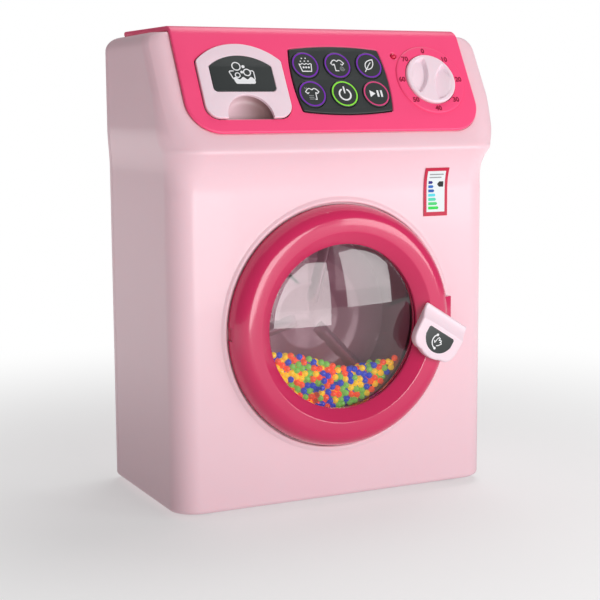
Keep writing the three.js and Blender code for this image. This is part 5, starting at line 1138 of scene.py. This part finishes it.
def placeBeads(random):
    # Random spots in the front layer and the top layer push each other apart until they only touch.
    r, front, back = beads["radius"], beads["front"], beads["back"]
    middle, spots = front - beads["layer"], []
    for count, deep, shallow, thick in ((beads["frontCount"], middle, front, 60),
                                        (beads["topCount"], back, middle, 7.0)):
        x, y, h = (random.uniform(low, high, 6 * count)
                   for low, high in ((-50, 50), (-50.8, -14), (deep + r, shallow - r)))
        level = beadLevel(x, h) - r
        fits = (np.hypot(x, y) < room - r) & (y < level) & (y > level - thick)
        spots.append(rowsOf(x, y, h)[fits][:count])
    p = np.vstack(spots)
    first = np.arange(len(p)) < len(spots[0])
    for _ in range(beads["rounds"]):
        away = p[:, None, :] - p[None, :, :]
        gap = np.sqrt((away ** 2).sum(-1)) + np.eye(len(p)) * 99
        push = np.clip(2 * r - gap, 0, None) / gap * beads["push"]
        p = p + (away * push[..., None]).sum(1)
        level = beadLevel(p[:, 0], p[:, 2]) - r
        p[:, 1] = np.where(first, np.minimum(p[:, 1], level), np.clip(p[:, 1], level - 8, level))
        p[:, 2] = np.where(first, np.clip(p[:, 2], middle + r * 0.4, front - r),
                           np.clip(p[:, 2], back + r, middle + r))
        p[:, :2] *= np.minimum(1, (room - r) / np.hypot(p[:, 0], p[:, 1]))[:, None]
    return p


def makeBeads():
    # One ball of rings between two poles, repeated at each spot in one of the tones.
    random = np.random.default_rng(beads["seed"])
    p = placeBeads(random)
    r, across, down = beads["radius"], 10, 6
    polar = np.linspace(0, math.pi, down + 1)[1:-1, None]
    turn = np.arange(across) * 2 * math.pi / across
    rings = rowsOf(r * np.sin(polar) * np.cos(turn), r * np.sin(polar) * np.sin(turn), r * np.cos(polar))
    ball = np.vstack([(0, 0, r), rings.reshape(-1, 3), (0, 0, -r)])
    i = np.arange(across)
    j, last = (i + 1) % across, len(ball) - 1
    quads = gridFaces(down - 1, across, False, True) + 1
    caps = np.vstack([rowsOf(0, 1 + i, 1 + j), rowsOf(last, last - across + j, last - across + i)])
    tone = random.integers(0, 4, len(p))
    for k, (name, colour) in enumerate(beads["tones"].items()):
        finishes[name] = makeFinish(colour, **beads["look"])
        mine = p[tone == k]
        step = (np.arange(len(mine)) * len(ball))[:, None, None]
        addPiece(f"{name}s", onFront((mine[:, None] + ball).reshape(-1, 3)),
                 [(quads + step).reshape(-1, 4), (caps + step).reshape(-1, 3)], name, "cabinet",
                 stands=["bead_fill"], slot="beads", sharp=None)
    print("beads", len(p))


makeBeads()

# Feet, battery lid, and the CAD's own pieces inside.
foot = {"x": 80.0, "y": (20.0, 84.0),
        "profile": [(0, 0), (6.0, 0), (6.3, 0.15), (6.3, 0.5), (6.9, 0.5), (7.0, 0.1), (7.7, 0.25),
                    (8.0, 0.8), (8.0, 3.7), (0, 3.7)]}
for i, (x, y) in enumerate([(side * foot["x"], y) for side in (-1, 1) for y in foot["y"]]):
    addRevolved(f"rubberFoot{i + 1}", foot["profile"], "rubber", "cabinet", np.asarray, x, y, 56,
                stands=[f"foot_{i + 1}"], slot="rubber", sharp=35)
flatPlate("batteryLid", [roundBox(*back["hatch"], 5)], -1.8, -0.06, "palePink", "cabinet", place=onBack,
          bevel=0.5, stands=["battery_door"], slot="pale_pink", sharp=35)
inkPiece("lidArrow", "blush", "cabinet", onBack, -0.06,
         strokes=[([(-5, z), (0, z - 3), (5, z)], 1.0) for z in (60, 57, 54)])
dress = {  # the CAD's own pieces that stay as they are, each in its finish
    "raspberry": ["door_hinge", "door_inner_ring"],
    "zinc": ["hinge_pin", "idler_pin", "drum_axle", "contact_left", "contact_right", "motor"]
            + [f"{kind}_screw_{i}" for kind in ("door", "cover", "frame") for i in range(1, 5)],
    "brass": ["motor_pinion"], "natural": ["latch_cam", "drawer_sleeve", "gear_frame"],
    "acetal": ["drum_gear", "compound_gear"], "rubber": ["keypad_mat"], "solderMask": ["control_board"],
    "darkMoulding": ["dial_encoder", "speaker"], "cellWrap": ["cell_1", "cell_2", "cell_3"],
}
for tone, names in dress.items():
    for name in names:
        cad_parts[name].data.materials.clear()
        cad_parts[name].data.materials.append(finishes[tone])
for name, material in finishes.items():
    material.name = name
print("fittings made")

# The photograph's camera.
shot = {"lens": 84.93, "place": (-369.04, -705.97, 227.7), "toward": (0.43389923, 0.89049231, -0.13694852),
        "up": (0.06511459, 0.12061063, 0.99056205)}
cameraData = bpy.data.cameras.new("photoCamera")
cameraData.lens, cameraData.sensor_width = shot["lens"], 36.0
cameraData.clip_start, cameraData.clip_end = 0.02, 30.0
camera = newObject("photoCamera", cameraData)
behind, upward = -Vector(shot["toward"]).normalized(), Vector(shot["up"]).normalized()
pose = Matrix((upward.cross(behind).normalized(), upward, behind)).transposed().to_4x4()
pose.translation = Vector(toFrame([shot["place"]])[0])
camera.matrix_world = pose
bpy.context.scene.camera = camera

# Two front boxes stand where the photograph mirrors them in the window's dome; a box is its name, place,
# target, width, height and power. Here the sizes are in metres.
stage = {
    "bounce": 0.3, "floor": 0.94, "fadeFrom": 0.15, "fadeTo": 0.55, "wash": 0.4, "sky": 0.22,
    "boxes": [("leftBox", (0.07, -0.767, 0.187), (0.07, 0, 0.187), 0.35, 0.36, 2.15),
              ("rightBox", (0.45, -0.62, 0.247), (0.0, -0.05, 0.13), 0.3, 0.3, 1.35),
              ("topBox", (0.3, 0.25, 1.1), (0, 0, 0.2), 0.6, 0.6, 4.5)]}


def makeFloor():
    # Pale and plain: it sends back less light than it shows, and fades into white away from the toy.
    material, tree, shader, place = newMaterial("paleFloor")
    shown, bounced = ((stage[key],) * 3 + (1,) for key in ("floor", "bounce"))
    seen = addNode(tree, "LightPath").outputs["Is Camera Ray"]
    tone = addNode(tree, "Mix", {"Factor": seen, "A": bounced, "B": shown}, data_type="RGBA")
    setSockets(shader, {"Base Color": tone, "Roughness": 0.7, "Specular IOR Level": 0.1})
    far = addNode(tree, "VectorMath", {0: place}, operation="LENGTH")
    reach = {"From Min": stage["fadeFrom"], "From Max": stage["fadeTo"], "To Min": stage["wash"]}
    fade = addNode(tree, "MapRange", {"Value": far, **reach}, interpolation_type="SMOOTHSTEP")
    white = addNode(tree, "Emission", {"Strength": 1.0})
    blend = addNode(tree, "MixShader", {0: fade, 1: shader, 2: white})
    setSockets(tree.nodes["Material Output"], {"Surface": blend})
    return material


floorMesh = bpy.data.meshes.new("floor")
floorMesh.from_pydata([(-6, -6, 0), (6, -6, 0), (6, 6, 0), (-6, 6, 0)], [], [(0, 1, 2, 3)])
floorMesh.materials.append(makeFloor())
floor = newObject("floor", floorMesh)
floor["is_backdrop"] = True

world = bpy.data.worlds.new("studio")
bpy.context.scene.world = world
world.use_nodes = True
tree = world.node_tree
tree.nodes.clear()
sky = addNode(tree, "Background", {"Color": (1.0, 0.985, 0.99, 1), "Strength": stage["sky"]})
plain = addNode(tree, "Background", {"Color": (1, 1, 1, 1), "Strength": 1.0})
seen = addNode(tree, "LightPath").outputs["Is Camera Ray"]
pick = addNode(tree, "MixShader", {0: seen, 1: sky, 2: plain})
addNode(tree, "OutputWorld", {"Surface": pick})
for name, place, target, width, height, power in stage["boxes"]:
    light = bpy.data.lights.new(name, "AREA")
    light.shape, light.size, light.size_y, light.energy = "RECTANGLE", width, height, power
    lightBox = newObject(name, light)
    lightBox.location = place
    lightBox.rotation_euler = (Vector(target) - Vector(place)).to_track_quat("-Z", "Y").to_euler()
bpy.context.scene.view_settings.view_transform = "Standard"
print("stage made")

low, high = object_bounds()
print("bounds", list(low), list(high))
